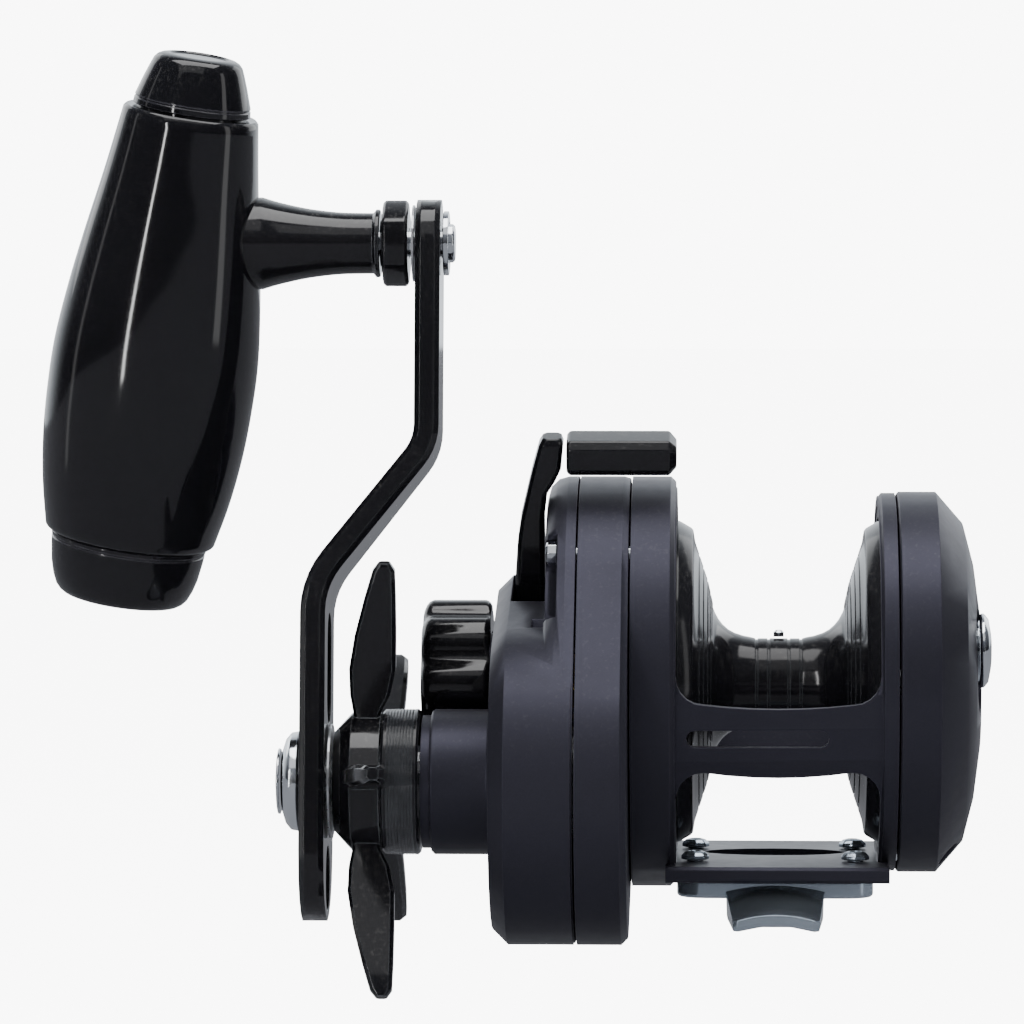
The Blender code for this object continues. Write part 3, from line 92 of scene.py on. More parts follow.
# name, place, width, height, the studio power that feeds it and its share of that power
LIGHTS = (
    ("front_fill", (-0.15, -1.0, 1.15), 1.4, 0.7, "fill", 0.8),
    ("left_strip", (-0.68, -1.03, 0.22), 0.05, 0.8, "strip", 2.8),
    ("right_strip", (1.10, -0.35, 0.25), 0.20, 1.0, "strip", 0.7),
    ("far_left_strip", (-1.20, 0.05, 0.25), 0.08, 1.0, "strip", 0.16),
    ("overhead", (0.0, -0.15, 1.20), 1.3, 0.8, "top", 1.0),
    ("rear_left", (-0.9, 1.1, 0.7), 0.8, 0.8, "fill", 1.0),
    ("rear_right", (0.9, 1.1, 0.7), 0.8, 0.8, "fill", 1.0),
)


def joint_centre(name):
    """Where a joint turns, in millimetres."""
    for joint in frame["joints"]:
        if joint["name"] == name:
            return Vector(joint["pos_m"]) / MM
    raise ValueError(f"the frame has no joint named {name}")


SPOOL_CENTRE = joint_centre("spool_spin")
DRIVE_CENTRE = joint_centre("handle_turn")
KNOB_CENTRE = joint_centre("knob_spin")


def colour(name, description, default):
    """Colour property."""
    return FloatVectorProperty(name=name, description=description, default=default, size=3,
                               min=0.0, max=1.0, subtype="COLOR")


def length(name, description, default):
    """Length property, in metres."""
    return FloatProperty(name=name, description=description, default=default, min=0.0,
                         unit="LENGTH", subtype="DISTANCE", precision=5)


def share(name, description, default):
    """Property between none and all."""
    return FloatProperty(name=name, description=description, default=default, min=0.0, max=1.0,
                         subtype="FACTOR")


class ReelFinish(bpy.types.PropertyGroup):
    """Colours and ageing of the reel's surfaces."""
    anodised: colour("Anodised", "Satin colour of the frame, gear box and side covers",
                     (0.0225, 0.0222, 0.0305))
    lacquer: colour("Gloss Black", "Polished black of the handle, star, spool and clutch",
                    (0.0007, 0.0007, 0.0009))
    grip: colour("Grip", "Gloss black of the handle knob", (0.0006, 0.0006, 0.0008))
    chrome: colour("Chrome", "Bright chrome of the screws, nuts and clicker button", (0.80, 0.83, 0.86))
    gunmetal: colour("Gunmetal", "Darker chrome of the reel foot and deck screws", (0.30, 0.345, 0.40))
    steel: colour("Steel", "Ground steel of shafts, springs and bearings", (0.52, 0.53, 0.55))
    brass: colour("Brass", "Cut brass of the drive gear and pinion", (0.62, 0.44, 0.19))
    carbon: colour("Carbon", "Woven drag washers", (0.035, 0.036, 0.038))
    # the lightened edges are partly wear and partly a painted highlight
    edge_wear_and_highlight: share("Edge Wear", "How bright the rubbed edges are", 0.35)
    dust: share("Dust", "How much fine dust lies on upward faces", 0.03)


class ReelSizes(bpy.types.PropertyGroup):
    """Small sizes of the finished surfaces."""
    edge_round: length("Edge Round", "Radius of the broken edges", 0.00022)
    grain: length("Blast Grain", "Height of the bead-blasted grain on anodised metal", 0.000004)
    spool_groove: length("Spool Groove", "Depth of the turned steps on the spool's walls", 0.00022)
    arbor_band: length("Arbor Band", "Depth of the bands on the spool's arbor", 0.00018)
    knob_groove: length("Knob Groove", "Depth of the fine grooves beside the knob's caps", 0.00012)
    turned_sides: IntProperty(name="Turned Sides", description="Sides of the finely turned pieces",
                              default=112, min=24, max=256)
    floor_gap: length("Floor Gap", "Space between the floor and the knob at its lowest", 0.004)


class ReelStudio(bpy.types.PropertyGroup):
    """Camera and soft lights."""
    lens: FloatProperty(name="Lens", description="Focal length of the camera", default=189.8, min=10.0,
                        unit="CAMERA")
    backdrop: colour("Backdrop", "Colour behind the reel", (1.0, 1.0, 1.0))
    brightness: FloatProperty(name="Brightness", description="Strength of the light that the backdrop gives",
                              default=9.0, min=0.0)
    floor: colour("Floor", "Colour of the plain floor", (0.95, 0.95, 0.95))
    fill: FloatProperty(name="Fill", description="Power of the broad front light", default=2.4, min=0.0,
                        unit="POWER")
    strip: FloatProperty(name="Strips", description="Power of the tall strip lights", default=1.3, min=0.0,
                         unit="POWER")
    top: FloatProperty(name="Top", description="Power of the overhead light", default=17.0, min=0.0,
                       unit="POWER")


# ------------------------------------------------------------ node groups

def add_node(tree, kind, inputs=(), **settings):
    """New node; inputs pairs a socket name or number with a value or another node's output."""
    node = tree.nodes.new(kind)
    for key, value in settings.items():
        setattr(node, key, value)
    for key, value in dict(inputs).items():
        if isinstance(value, bpy.types.NodeSocket):
            tree.links.new(value, node.inputs[key])
        else:
            node.inputs[key].default_value = value
    return node


def new_group(name, inputs, outputs):
    """Shader node group with float inputs and the named outputs."""
    tree = bpy.data.node_groups.new(name, "ShaderNodeTree")
    for label, value in inputs.items():
        socket = tree.interface.new_socket(name=label, in_out="INPUT", socket_type="NodeSocketFloat")
        socket.default_value = value
    for label, kind in outputs.items():
        tree.interface.new_socket(name=label, in_out="OUTPUT", socket_type="NodeSocket" + kind)
    return tree, tree.nodes.new("NodeGroupInput").outputs, tree.nodes.new("NodeGroupOutput").inputs


def calculate(tree, operation, first, second, clamp=False):
    """Math node's output."""
    return add_node(tree, "ShaderNodeMath", {0: first, 1: second}, operation=operation,
                    use_clamp=clamp).outputs[0]


def noise(tree, scale, detail=3.0):
    """Noise over the piece's own coordinates, which are metres in the reel's frame."""
    place = add_node(tree, "ShaderNodeTexCoord").outputs["Object"]
    return add_node(tree, "ShaderNodeTexNoise",
                    {"Vector": place, "Scale": scale, "Detail": detail}).outputs["Fac"]


def make_grain_group():
    """Fine all-over grain: a height in metres and a mask."""
    tree, given, made = new_group("Reel Grain", {"Scale": 3500.0, "Height": 0.000004},
                                  {"Height": "Float", "Mask": "Float"})
    grain = noise(tree, given["Scale"])
    tree.links.new(calculate(tree, "MULTIPLY", grain, given["Height"]), made["Height"])
    tree.links.new(grain, made["Mask"])
    return tree


def make_edge_group():
    """Rounded edges: a normal that turns over each edge, and a broken mask of the rubbed edges, which
    lightens them as wear and as a painted highlight.
    """
    tree, given, made = new_group("Reel Edges", {"Round": 0.0002, "Wear and Highlight": 0.3},
                                  {"Normal": "Vector", "Mask": "Float"})
    rounded = add_node(tree, "ShaderNodeBevel", {"Radius": given["Round"]}, samples=6).outputs[0]
    flat = add_node(tree, "ShaderNodeNewGeometry").outputs["Normal"]
    alike = add_node(tree, "ShaderNodeVectorMath", {0: rounded, 1: flat},
                     operation="DOT_PRODUCT").outputs["Value"]
    edge = calculate(tree, "MULTIPLY", calculate(tree, "SUBTRACT", 1.0, alike), 5.0, clamp=True)
    patches = calculate(tree, "ADD", noise(tree, RUB_SCALE, 4.0), 0.15, clamp=True)
    # mask of lightened edges: partly wear, partly a painted highlight along every edge
    wear_and_highlight = calculate(tree, "MULTIPLY", edge, patches)
    tree.links.new(calculate(tree, "MULTIPLY", wear_and_highlight, given["Wear and Highlight"], clamp=True), made["Mask"])
    tree.links.new(rounded, made["Normal"])
    return tree


def make_handling_group():
    """Uneven polish from handling, between two roughness values."""
    tree, given, made = new_group("Reel Handling", {"Scale": 60.0, "Low": 0.1, "High": 0.2},
                                  {"Roughness": "Float"})
    broad = noise(tree, given["Scale"], 4.0)
    fine = noise(tree, calculate(tree, "MULTIPLY", given["Scale"], 14.0), 2.0)
    both = calculate(tree, "ADD", calculate(tree, "MULTIPLY", broad, 0.75),
                     calculate(tree, "MULTIPLY", fine, 0.25))
    spread = add_node(tree, "ShaderNodeMapRange", {"Value": both, "From Min": 0.35, "From Max": 0.65,
                                                   "To Min": given["Low"], "To Max": given["High"]})
    tree.links.new(spread.outputs["Result"], made["Roughness"])
    return tree


def make_dust_group():
    """Mask of fine dust that gathers on faces that look upwards."""
    tree, given, made = new_group("Reel Dust", {"Amount": 0.1, "Scale": DUST_SCALE}, {"Mask": "Float"})
    normal = add_node(tree, "ShaderNodeNewGeometry").outputs["Normal"]
    up = add_node(tree, "ShaderNodeSeparateXYZ", {0: normal}).outputs["Z"]
    peaks = calculate(tree, "SUBTRACT", noise(tree, given["Scale"], 5.0), 0.56)
    specks = calculate(tree, "MULTIPLY", peaks, 5.0, clamp=True)
    lying = calculate(tree, "MULTIPLY", specks, calculate(tree, "MAXIMUM", up, 0.0))
    tree.links.new(calculate(tree, "MULTIPLY", lying, given["Amount"], clamp=True), made["Mask"])
    return tree


def make_turning_group():
    """Fine lines left by turning about an axis along X."""
    tree, given, made = new_group("Reel Turning", {"Scale": 900.0, "Height": 0.000002}, {"Height": "Float"})
    place = add_node(tree, "ShaderNodeTexCoord").outputs["Object"]
    wave = add_node(tree, "ShaderNodeTexWave", {"Vector": place, "Scale": given["Scale"], "Distortion": 1.5,
                                                "Detail": 2.0}, wave_type="BANDS", bands_direction="X")
    tree.links.new(calculate(tree, "MULTIPLY", wave.outputs["Fac"], given["Height"]), made["Height"])
    return tree


# -------------------------------------------------------------- materials

def place_group(tree, name, inputs):
    """Puts one of the shared effects in a material with its own values."""
    node = tree.nodes.new("ShaderNodeGroup")
    node.node_tree = bpy.data.node_groups[name]
    for label, value in inputs.items():
        node.inputs[label].default_value = value
    return node.outputs


def blend(tree, factor, first, second):
    """Colour mixed by a mask."""
    node = add_node(tree, "ShaderNodeMix", data_type="RGBA", blend_type="MIX")
    for socket, value in ((node.inputs[0], factor), (node.inputs[6], first), (node.inputs[7], second)):
        if isinstance(value, bpy.types.NodeSocket):
            tree.links.new(value, socket)
        else:
            socket.default_value = value if isinstance(value, float) else (*value, 1.0)
    return node.outputs[2]


def surface(name, tint, metallic, polish, grain, wear_and_highlight, turning=None, specular=0.5, mottle=0.12,
            handling=60.0, dusty=1.0):
    """Material for one finish: tint, uneven polish, grain, rubbed edges lightened as wear and as a painted
    highlight, and a little dust.

    polish is the lowest and highest roughness; grain and turning are a scale and a height in metres.
    """
    sizes = bpy.context.scene.reel_sizes
    look = bpy.context.scene.reel_finish
    material = bpy.data.materials.new(name)
    material.use_nodes = True
    tree = material.node_tree
    shader = tree.nodes["Principled BSDF"]
    shader.inputs["Metallic"].default_value = metallic
    shader.inputs["Specular IOR Level"].default_value = specular

    fine = place_group(tree, "Reel Grain", {"Scale": grain[0], "Height": grain[1]})
    edges = place_group(tree, "Reel Edges", {"Round": sizes.edge_round, "Wear and Highlight": look.edge_wear_and_highlight})
    dust = place_group(tree, "Reel Dust", {"Amount": look.dust * dusty, "Scale": DUST_SCALE})
    marks = place_group(tree, "Reel Handling", {"Scale": handling, "Low": polish[0], "High": polish[1]})

    dark = tuple(part * (1 - mottle) for part in tint)
    light = tuple(min(1.0, part * (1 + mottle)) for part in tint)
    tone = blend(tree, fine["Mask"], dark, light)
    # rubbed edges lightened: partly wear, partly a painted edge highlight
    tone = blend(tree, edges["Mask"], tone, wear_and_highlight)
    tone = blend(tree, dust["Mask"], tone, DUST_COLOUR)
    tree.links.new(tone, shader.inputs["Base Color"])
    dulled = calculate(tree, "ADD", marks["Roughness"], calculate(tree, "MULTIPLY", dust["Mask"], 0.5),
                       clamp=True)
    tree.links.new(dulled, shader.inputs["Roughness"])
    height = fine["Height"]
    if turning:
        lines = place_group(tree, "Reel Turning", {"Scale": turning[0], "Height": turning[1]})
        height = calculate(tree, "ADD", height, lines["Height"])
    bump = add_node(tree, "ShaderNodeBump", {"Strength": 1.0, "Distance": 1.0, "Height": height,
                                             "Normal": edges["Normal"]})
    tree.links.new(bump.outputs[0], shader.inputs["Normal"])
    return material


def make_carbon(tint):
    """Woven drag washers: crossed bands of fibre under a thin binder."""
    material = surface("woven_carbon", tint, 0.0, (0.38, 0.52), (2600.0, 0.000004), (0.12, 0.12, 0.12))
    tree = material.node_tree
    shader = tree.nodes["Principled BSDF"]
    place = add_node(tree, "ShaderNodeTexCoord").outputs["Object"]
    weave = add_node(tree, "ShaderNodeTexChecker", {"Vector": place, "Scale": 900.0,
                                                    "Color1": (0.018, 0.018, 0.020, 1.0),
                                                    "Color2": (0.075, 0.077, 0.082, 1.0)}).outputs["Color"]
    before = shader.inputs["Base Color"].links[0].from_socket
    tree.links.new(blend(tree, 0.6, before, weave), shader.inputs["Base Color"])


def make_materials():
    """The shared effects, then all the finishes."""
    for make in (make_grain_group, make_edge_group, make_handling_group, make_dust_group, make_turning_group):
        make()
    look = bpy.context.scene.reel_finish
    sizes = bpy.context.scene.reel_sizes
    # each finish's last colour lightens its rubbed edges, partly as wear and partly as a painted highlight
    surface("blasted_anodising", tuple(look.anodised), 0.96, (0.36, 0.46), (4200.0, sizes.grain),
            (0.10, 0.10, 0.13), mottle=0.10, handling=35.0)
    surface("polished_black", tuple(look.lacquer), 0.0, (0.07, 0.13), (260.0, 0.0000012),
            (0.09, 0.10, 0.11), mottle=0.2)
    surface("grip_black", tuple(look.grip), 0.0, (0.06, 0.10), (300.0, 0.0000014),
            (0.05, 0.05, 0.06), mottle=0.2, handling=40.0)
    surface("turned_black", tuple(part * 1.5 for part in look.lacquer), 0.0, (0.10, 0.17), (300.0, 0.000001),
            (0.05, 0.055, 0.06), turning=(330.0, 0.0000015), specular=0.3)
    surface("polished_chrome", tuple(look.chrome), 1.0, (0.04, 0.11), (500.0, 0.0000012),
            (0.90, 0.92, 0.94), mottle=0.03, dusty=0.5)
    surface("dark_chrome", tuple(look.gunmetal), 0.975, (0.12, 0.22), (420.0, 0.0000016),
            (0.60, 0.63, 0.66), mottle=0.06)
    surface("ground_steel", tuple(look.steel), 1.0, (0.22, 0.34), (1500.0, 0.000002),
            (0.75, 0.76, 0.78), turning=(700.0, 0.000004), mottle=0.06)
    surface("cut_brass", tuple(look.brass), 1.0, (0.22, 0.36), (1300.0, 0.000002),
            (0.82, 0.66, 0.36), turning=(650.0, 0.000004), mottle=0.09)
    make_carbon(tuple(look.carbon))


class REEL_OT_finishes(bpy.types.Operator):
    """Mix the anodised, polished, turned, cut and woven finishes"""
    bl_idname = "reel.finishes"
    bl_label = "Finishes"

    def execute(self, context):
        make_materials()
        return {"FINISHED"}


# ---------------------------------------------------------- piece helpers


def settle(piece, finish, body, node):
    """Gives a made piece its finish and its body, and hides the frame piece it stands for."""
    piece.data.materials.clear()
    piece.data.materials.append(bpy.data.materials[finish])
    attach(piece, body)
    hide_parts(node)


def to_object(name, shell, sharp=SHARP_ANGLE):
    """Turns a bmesh into a smooth-shaded object with sharp edges kept."""
    bmesh.ops.recalc_face_normals(shell, faces=shell.faces)
    if shell.calc_volume(signed=True) < 0:
        bmesh.ops.reverse_faces(shell, faces=shell.faces)
    mesh = bpy.data.meshes.new(name)
    shell.to_mesh(mesh)
    shell.free()
    mesh.shade_smooth()
    mesh.set_sharp_from_angle(angle=radians(sharp))
    piece = bpy.data.objects.new(name, mesh)
    bpy.context.scene.collection.objects.link(piece)
    return piece


def loft(name, rings, closed_loop=False, sharp=SHARP_ANGLE):
    """Closed skin through rings of points in millimetres; a ring of one point is a tip."""
    shell = bmesh.new()
    rows = [[shell.verts.new(Vector(point) * MM) for point in ring] for ring in rings]
    spans = list(zip(rows, rows[1:]))
    if closed_loop:
        spans.append((rows[-1], rows[0]))
    else:
        for row in (rows[0], rows[-1]):
            if len(row) > 2:
                shell.faces.new(row)
    for near, far in spans:
        count = max(len(near), len(far))
        for i in range(count):
            j = (i + 1) % count
            corners = [near[i % len(near)], near[j % len(near)], far[j % len(far)], far[i % len(far)]]
            shell.faces.new(list(dict.fromkeys(corners)))
    return to_object(name, shell, sharp)


def around(radius, degrees_up, centre=(0.0, 0.0)):
    """Point (y, z) at an angle from straight up, positive towards the angler."""
    turn = radians(degrees_up)
    return (centre[0] - radius * sin(turn), centre[1] + radius * cos(turn))


def turn_ring(x, radius, centre, sides):
    """Ring about an axis along X."""
    if radius == 0:
        return [(x, centre.y, centre.z)]
    return [(x, *around(radius, 360 * i / sides, (centre.y, centre.z))) for i in range(sides)]


def turned(name, profile, centre, sides=None, sharp=SHARP_ANGLE):
    """Finely turned piece from (x, radius) points about an axis along X."""
    sides = sides or bpy.context.scene.reel_sizes.turned_sides
    rings = [turn_ring(x, radius, centre, sides) for x, radius in profile]
    return loft(name, rings, profile[0][1] > 0 and profile[-1][1] > 0, sharp)


def eased(points, steps):
    """Smooth curve through profile points, so a swelling shape has no flats."""
    made = []
    for i in range(len(points) - 1):
        before = Vector(points[max(i - 1, 0)])
        start, end = Vector(points[i]), Vector(points[i + 1])
        after = Vector(points[min(i + 2, len(points) - 1)])
        for k in range(steps):
            t = k / steps
            spot = 0.5 * ((2 * start) + (end - before) * t
                          + (2 * before - 5 * start + 4 * end - after) * t * t
                          + (3 * start - before - 3 * end + after) * t ** 3)
            made.append(tuple(spot))
    made.append(tuple(points[-1]))
    return made


def refined(name, node, finish, body, round_edges=0.0):
    """Copy of a frame piece with flat faces joined, its edges broken and its curves smooth."""
    shell = bmesh.new()
    shell.from_mesh(NODES[node].data)
    bmesh.ops.remove_doubles(shell, verts=shell.verts, dist=WELD * MM)
    bmesh.ops.dissolve_limit(shell, angle_limit=radians(FLAT_ANGLE), verts=shell.verts, edges=shell.edges)
    if round_edges:
        edges = [edge for edge in shell.edges
                 if len(edge.link_faces) == 2 and edge.calc_face_angle(0.0) > radians(BREAK_ANGLE)]
        bmesh.ops.bevel(shell, geom=edges, offset=round_edges * MM, segments=2, profile=0.5,
                        affect="EDGES", clamp_overlap=True)
    piece = to_object(name, shell)
    even = piece.modifiers.new("even_shading", "WEIGHTED_NORMAL")
    even.keep_sharp = True
    settle(piece, finish, body, node)


# ------------------------------------------------------------------ stage

def soft_light(name, place, width, height, power):
    """Area light aimed at the middle of the stage; the camera doesn't see it."""
    data = bpy.data.lights.new(name, "AREA")
    data.shape = "RECTANGLE"
    data.size = width
    data.size_y = height
    data.energy = power
    light = bpy.data.objects.new(name, data)
    bpy.context.scene.collection.objects.link(light)
    light.location = place
    light.rotation_euler = (Vector(STAGE_MIDDLE) - Vector(place)).to_track_quat("-Z", "Y").to_euler()
    light.visible_camera = False


def make_world(backdrop, brightness):
    """Bright backdrop, with a dim, graded room for the polished faces to reflect."""
    world = bpy.data.worlds.new("reel_room")
    world.use_nodes = True
    tree = world.node_tree
    tree.nodes.clear()
    direction = add_node(tree, "ShaderNodeTexCoord").outputs["Generated"]
    split = add_node(tree, "ShaderNodeSeparateXYZ", {0: direction}).outputs
    upward = add_node(tree, "ShaderNodeMapRange", {"Value": split["Z"], "From Min": -1.0, "From Max": 1.0})
    ramp = add_node(tree, "ShaderNodeValToRGB", {0: upward.outputs["Result"]})
    steps = ramp.color_ramp.elements
    steps[0].color, steps[0].position = ROOM_LOW, 0.30
    steps[1].color, steps[1].position = ROOM_HIGH, 0.85
    steps.new(0.52).color = ROOM_MIDDLE
    behind = add_node(tree, "ShaderNodeMapRange", {"Value": split["Y"], "From Min": 0.35, "From Max": 0.95},
                      interpolation_type="SMOOTHSTEP").outputs["Result"]
    walls = blend(tree, behind, ramp.outputs["Color"], ROOM_BACK)
    room = add_node(tree, "ShaderNodeBackground", {"Color": walls, "Strength": 1.0})
    bright = add_node(tree, "ShaderNodeBackground", {"Color": (*backdrop, 1.0), "Strength": brightness})
    ray = add_node(tree, "ShaderNodeLightPath")
    mix = add_node(tree, "ShaderNodeMixShader", {0: ray.outputs["Is Glossy Ray"]})
    tree.links.new(bright.outputs[0], mix.inputs[1])
    tree.links.new(room.outputs[0], mix.inputs[2])
    tree.links.new(mix.outputs[0], add_node(tree, "ShaderNodeOutputWorld").inputs["Surface"])
    bpy.context.scene.world = world


class REEL_OT_camera(bpy.types.Operator):
    """Place the camera a little above the reel, square to the angler's side"""
    bl_idname = "reel.camera"
    bl_label = "Camera"

    def execute(self, context):
        data = bpy.data.cameras.new("reel_camera")
        data.lens = context.scene.reel_studio.lens
        data.clip_start = 0.02
        data.clip_end = 100.0
        camera = bpy.data.objects.new("reel_camera", data)
        context.scene.collection.objects.link(camera)
        camera.location = CAMERA_PLACE
        aim = Vector(CAMERA_AIM) - camera.location
        camera.rotation_euler = aim.to_track_quat("-Z", "Y").to_euler()
        context.scene.camera = camera
        return {"FINISHED"}


def make_floor(pale, height):
    """Plain matt floor that polished faces see as a dim one."""
    shell = bmesh.new()
    bmesh.ops.create_circle(shell, cap_ends=True, segments=96, radius=FLOOR_RADIUS)
    mesh = bpy.data.meshes.new("studio_floor")
    shell.to_mesh(mesh)
    shell.free()
    floor = bpy.data.objects.new("studio_floor", mesh)
    floor.location.z = height
    bpy.context.scene.collection.objects.link(floor)
    material = bpy.data.materials.new("plain_floor")
    material.use_nodes = True
    tree = material.node_tree
    shader = tree.nodes["Principled BSDF"]
    tone = noise(tree, 2.0)
    tree.links.new(blend(tree, tone, pale, tuple(part * 0.985 for part in pale)), shader.inputs["Base Color"])
    shader.inputs["Roughness"].default_value = 0.9
    shader.inputs["Specular IOR Level"].default_value = 0.0
    dull = add_node(tree, "ShaderNodeBsdfDiffuse", {"Color": DIM_FLOOR})
    ray = add_node(tree, "ShaderNodeLightPath")
    mix = add_node(tree, "ShaderNodeMixShader", {0: ray.outputs["Is Glossy Ray"], 1: shader.outputs[0],
                                                 2: dull.outputs[0]})
    tree.links.new(mix.outputs[0], tree.nodes["Material Output"].inputs["Surface"])
    mesh.materials.append(material)


class REEL_OT_stage(bpy.types.Operator):
    """Lay the plain floor, the backdrop and the soft lights"""
    bl_idname = "reel.stage"
    bl_label = "Stage"

    def execute(self, context):
        studio = context.scene.reel_studio
        make_world(tuple(studio.backdrop), studio.brightness)
        reach = (KNOB_CENTRE - DRIVE_CENTRE).yz.length + GRIP_REACH
        make_floor(tuple(studio.floor), (DRIVE_CENTRE.z - reach) * MM - context.scene.reel_sizes.floor_gap)
        for name, place, width, height, setting, part in LIGHTS:
            soft_light(name, place, width, height, getattr(studio, setting) * part)
        return {"FINISHED"}


# --------------------------------------------------------- finished pieces

class REEL_OT_housing(bpy.types.Operator):
    """Finish the frame, gear box and side covers in satin anodising"""
    bl_idname = "reel.housing"
    bl_label = "Frame and Covers"

    def execute(self, context):
        refined("frame_finish", "frame", "blasted_anodising", "reel")
        refined("gear_box_finish", "gear_box", "blasted_anodising", "reel")
        refined("gear_side_cover_finish", "gear_side_cover", "blasted_anodising", "reel")
        refined("palm_cover_finish", "palm_side_cover", "blasted_anodising", "reel")
        return {"FINISHED"}


class REEL_OT_spool(bpy.types.Operator):
    """Turn the spool with stepped walls and a banded arbor"""
    bl_idname = "reel.spool"
    bl_label = "Spool"

    def execute(self, context):
        step = context.scene.reel_sizes.spool_groove / MM
        band = context.scene.reel_sizes.arbor_band / MM
        lip = [(14.0, 2.9), (14.0, 8.0), (12.9, 10.5), (13.8, 16.6), (15.9, 23.2), (16.4, 24.6),
               (18.0, 25.2), (18.0, 26.5), (17.8, 26.8), (16.6, 26.8), (16.2, 26.6), (14.5, 25.6),
               (14.2, 25.2)]
        wall = []
        for high, low in ((23.3, 20.9), (20.9, 18.7), (18.7, 16.6), (16.6, 14.4), (14.4, 12.6)):
            for radius, sink in ((high - 0.05, 0.0), (low + 0.45, 0.0), (low + 0.38, step),
                                 (low + 0.05, step)):
                steep = radius > 16.6
                start, run = ((11.7, 16.6), 2.2 / 6.7) if steep else ((10.6, 11.5), 1.1 / 5.1)
                wall.append((start[0] + (radius - start[1]) * run + sink, radius))
        arbor = [(10.6, 11.5), (10.0, 10.4), (9.3, 9.5), (8.4, 8.7), (7.3, 8.1), (5.9, 7.65), (4.6, 7.4)]
        for x in (3.9, 1.9):
            arbor += [(x, ARBOR_R), (x - 0.05, ARBOR_R - band), (x - 0.4, ARBOR_R - band),
                      (x - 0.45, ARBOR_R)]
        right = lip + wall + arbor
        left = [(-x, radius) for x, radius in reversed(right)]
        spool = turned("turned_spool", right + left, SPOOL_CENTRE, sharp=24.0)
        settle(spool, "turned_black", "spool_group", "spool")
        refined("line_pin_finish", "line_pin", "polished_chrome", "spool_group")
        return {"FINISHED"}


class REEL_OT_handle(bpy.types.Operator):
    """Polish the cranked arm and its nuts"""
    bl_idname = "reel.handle"
    bl_label = "Handle Arm"

    def execute(self, context):
        refined("polished_arm", "handle_arm", "polished_black", "drive_group", 0.16)
        refined("knob_lock_nut", "knob_lobed_nut", "polished_black", "drive_group", 0.14)
        for name, node in (("arm_nut", "handle_nut"), ("arm_nut_retainer", "nut_retainer"),
                           ("spindle_head", "knob_spindle"), ("spindle_head_retainer", "spindle_retainer")):
            refined(name, node, "polished_chrome", "drive_group", 0.12)
        return {"FINISHED"}


def grip_axes():
    """The knob's own leaning axis and two directions square to it."""
    axis = Vector((sin(radians(KNOB_TILT)), -sin(radians(KNOB_LEAN)), 0.0))
    axis.z = sqrt(1 - axis.length_squared)
    side = axis.cross(Vector((1, 0, 0))).normalized()
    return axis, side, side.cross(axis)


def grip_piece(name, profile):
    """Turned piece on the knob's leaning axis, from (distance along, radius) points."""
    axis, side, front = grip_axes()
    sides = bpy.context.scene.reel_sizes.turned_sides
    rings = []
    for along, radius in profile:
        turns = [2 * pi * i / sides for i in range(sides)] if radius else [0.0]
        rings.append([KNOB_CENTRE + axis * along + (side * cos(t) + front * sin(t)) * radius for t in turns])
    return loft(name, rings)


class REEL_OT_knob(bpy.types.Operator):
    """Turn the handle knob, its two caps and its stem"""
    bl_idname = "reel.knob"
    bl_label = "Handle Knob"

    def execute(self, context):
        cut = context.scene.reel_sizes.knob_groove / MM
        swell = eased([(-49.2, 14.19), (-42.0, 15.70), (-34.0, 16.71), (-26.0, 17.10), (-18.0, 17.0),
                       (-9.0, 16.05), (0.0, 14.70), (11.0, 12.81), (21.6, 11.23)], 5)
        body = ([(-49.7, 0), (-49.7, 13.68), (-49.5, 13.95)] + swell
                + [(21.95, 10.95), (22.1, 10.77), (22.1, 0)])
        settle(grip_piece("grip_body", body), "grip_black", "knob_group", "knob_body")
        top = [(21.7, 0), (21.7, 9.0), (22.4, 9.0), (22.4, 9.5), (22.55, 9.75), (23.4, 9.66),
               (23.5, 9.66 - cut), (23.8, 9.62 - cut), (23.9, 9.6), (27.0, 8.6), (29.2, 7.8), (30.3, 7.35),
               (30.9, 6.8), (31.2, 6.2), (31.38, 5.4), (31.4, 4.96), (31.15, 4.6), (31.15, 0)]
        settle(grip_piece("grip_top_cap", top), "grip_black", "knob_group", "knob_top_cap")
        low = [(-60.2, 0), (-60.2, 9.4), (-60.1, 9.9), (-59.7, 10.5), (-59.0, 11.1), (-57.5, 11.75),
               (-55.5, 12.31), (-52.5, 12.75), (-51.2, 12.88), (-51.1, 12.88 - cut), (-50.8, 12.9 - cut),
               (-50.7, 12.94), (-50.2, 12.98), (-50.0, 12.8), (-50.0, 12.3), (-49.3, 12.3), (-49.3, 0)]
        settle(grip_piece("grip_bottom_cap", low), "grip_black", "knob_group", "knob_bottom_cap")
        neck = eased([(-66.9, 5.0), (-72.0, 5.1), (-76.0, 5.5), (-79.0, 6.0), (-82.5, 6.8), (-85.2, 7.6)], 5)
        stem = [(-86.0, 0), (-86.0, 3.8), (-65.7, 3.8), (-65.7, 5.4), (-65.9, 5.6), (-66.4, 5.6),
                (-66.6, 5.35)]
        stem += neck + [(-88.0, 7.6), (-88.0, 4.2), (-95.5, 4.2), (-95.5, 0)]
        settle(turned("grip_stem", stem, KNOB_CENTRE), "polished_black", "knob_group", "knob_stem")
        return {"FINISHED"}


class REEL_OT_star(bpy.types.Operator):
    """Polish the star drag and its collar"""
    bl_idname = "reel.star"
    bl_label = "Star Drag"

    def execute(self, context):
        refined("polished_star", "star_drag", "polished_black", "star_group", 0.18)
        grooved = [(-58.5, 8.0), (-58.5, 11.5), (-58.9, 11.9)]
        for i in range(COLLAR_GROOVES):
            x = -59.4 - COLLAR_PITCH * i
            grooved += [(x, 11.9), (x - 0.08, 11.78), (x - 0.2, 11.78), (x - 0.28, 11.9)]
        grooved += [(-64.2, 11.9), (-64.6, 11.5), (-64.6, 8.0)]
        collar = turned("star_collar_finish", grooved, DRIVE_CENTRE)
        settle(collar, "turned_black", "star_group", "star_collar")
        return {"FINISHED"}


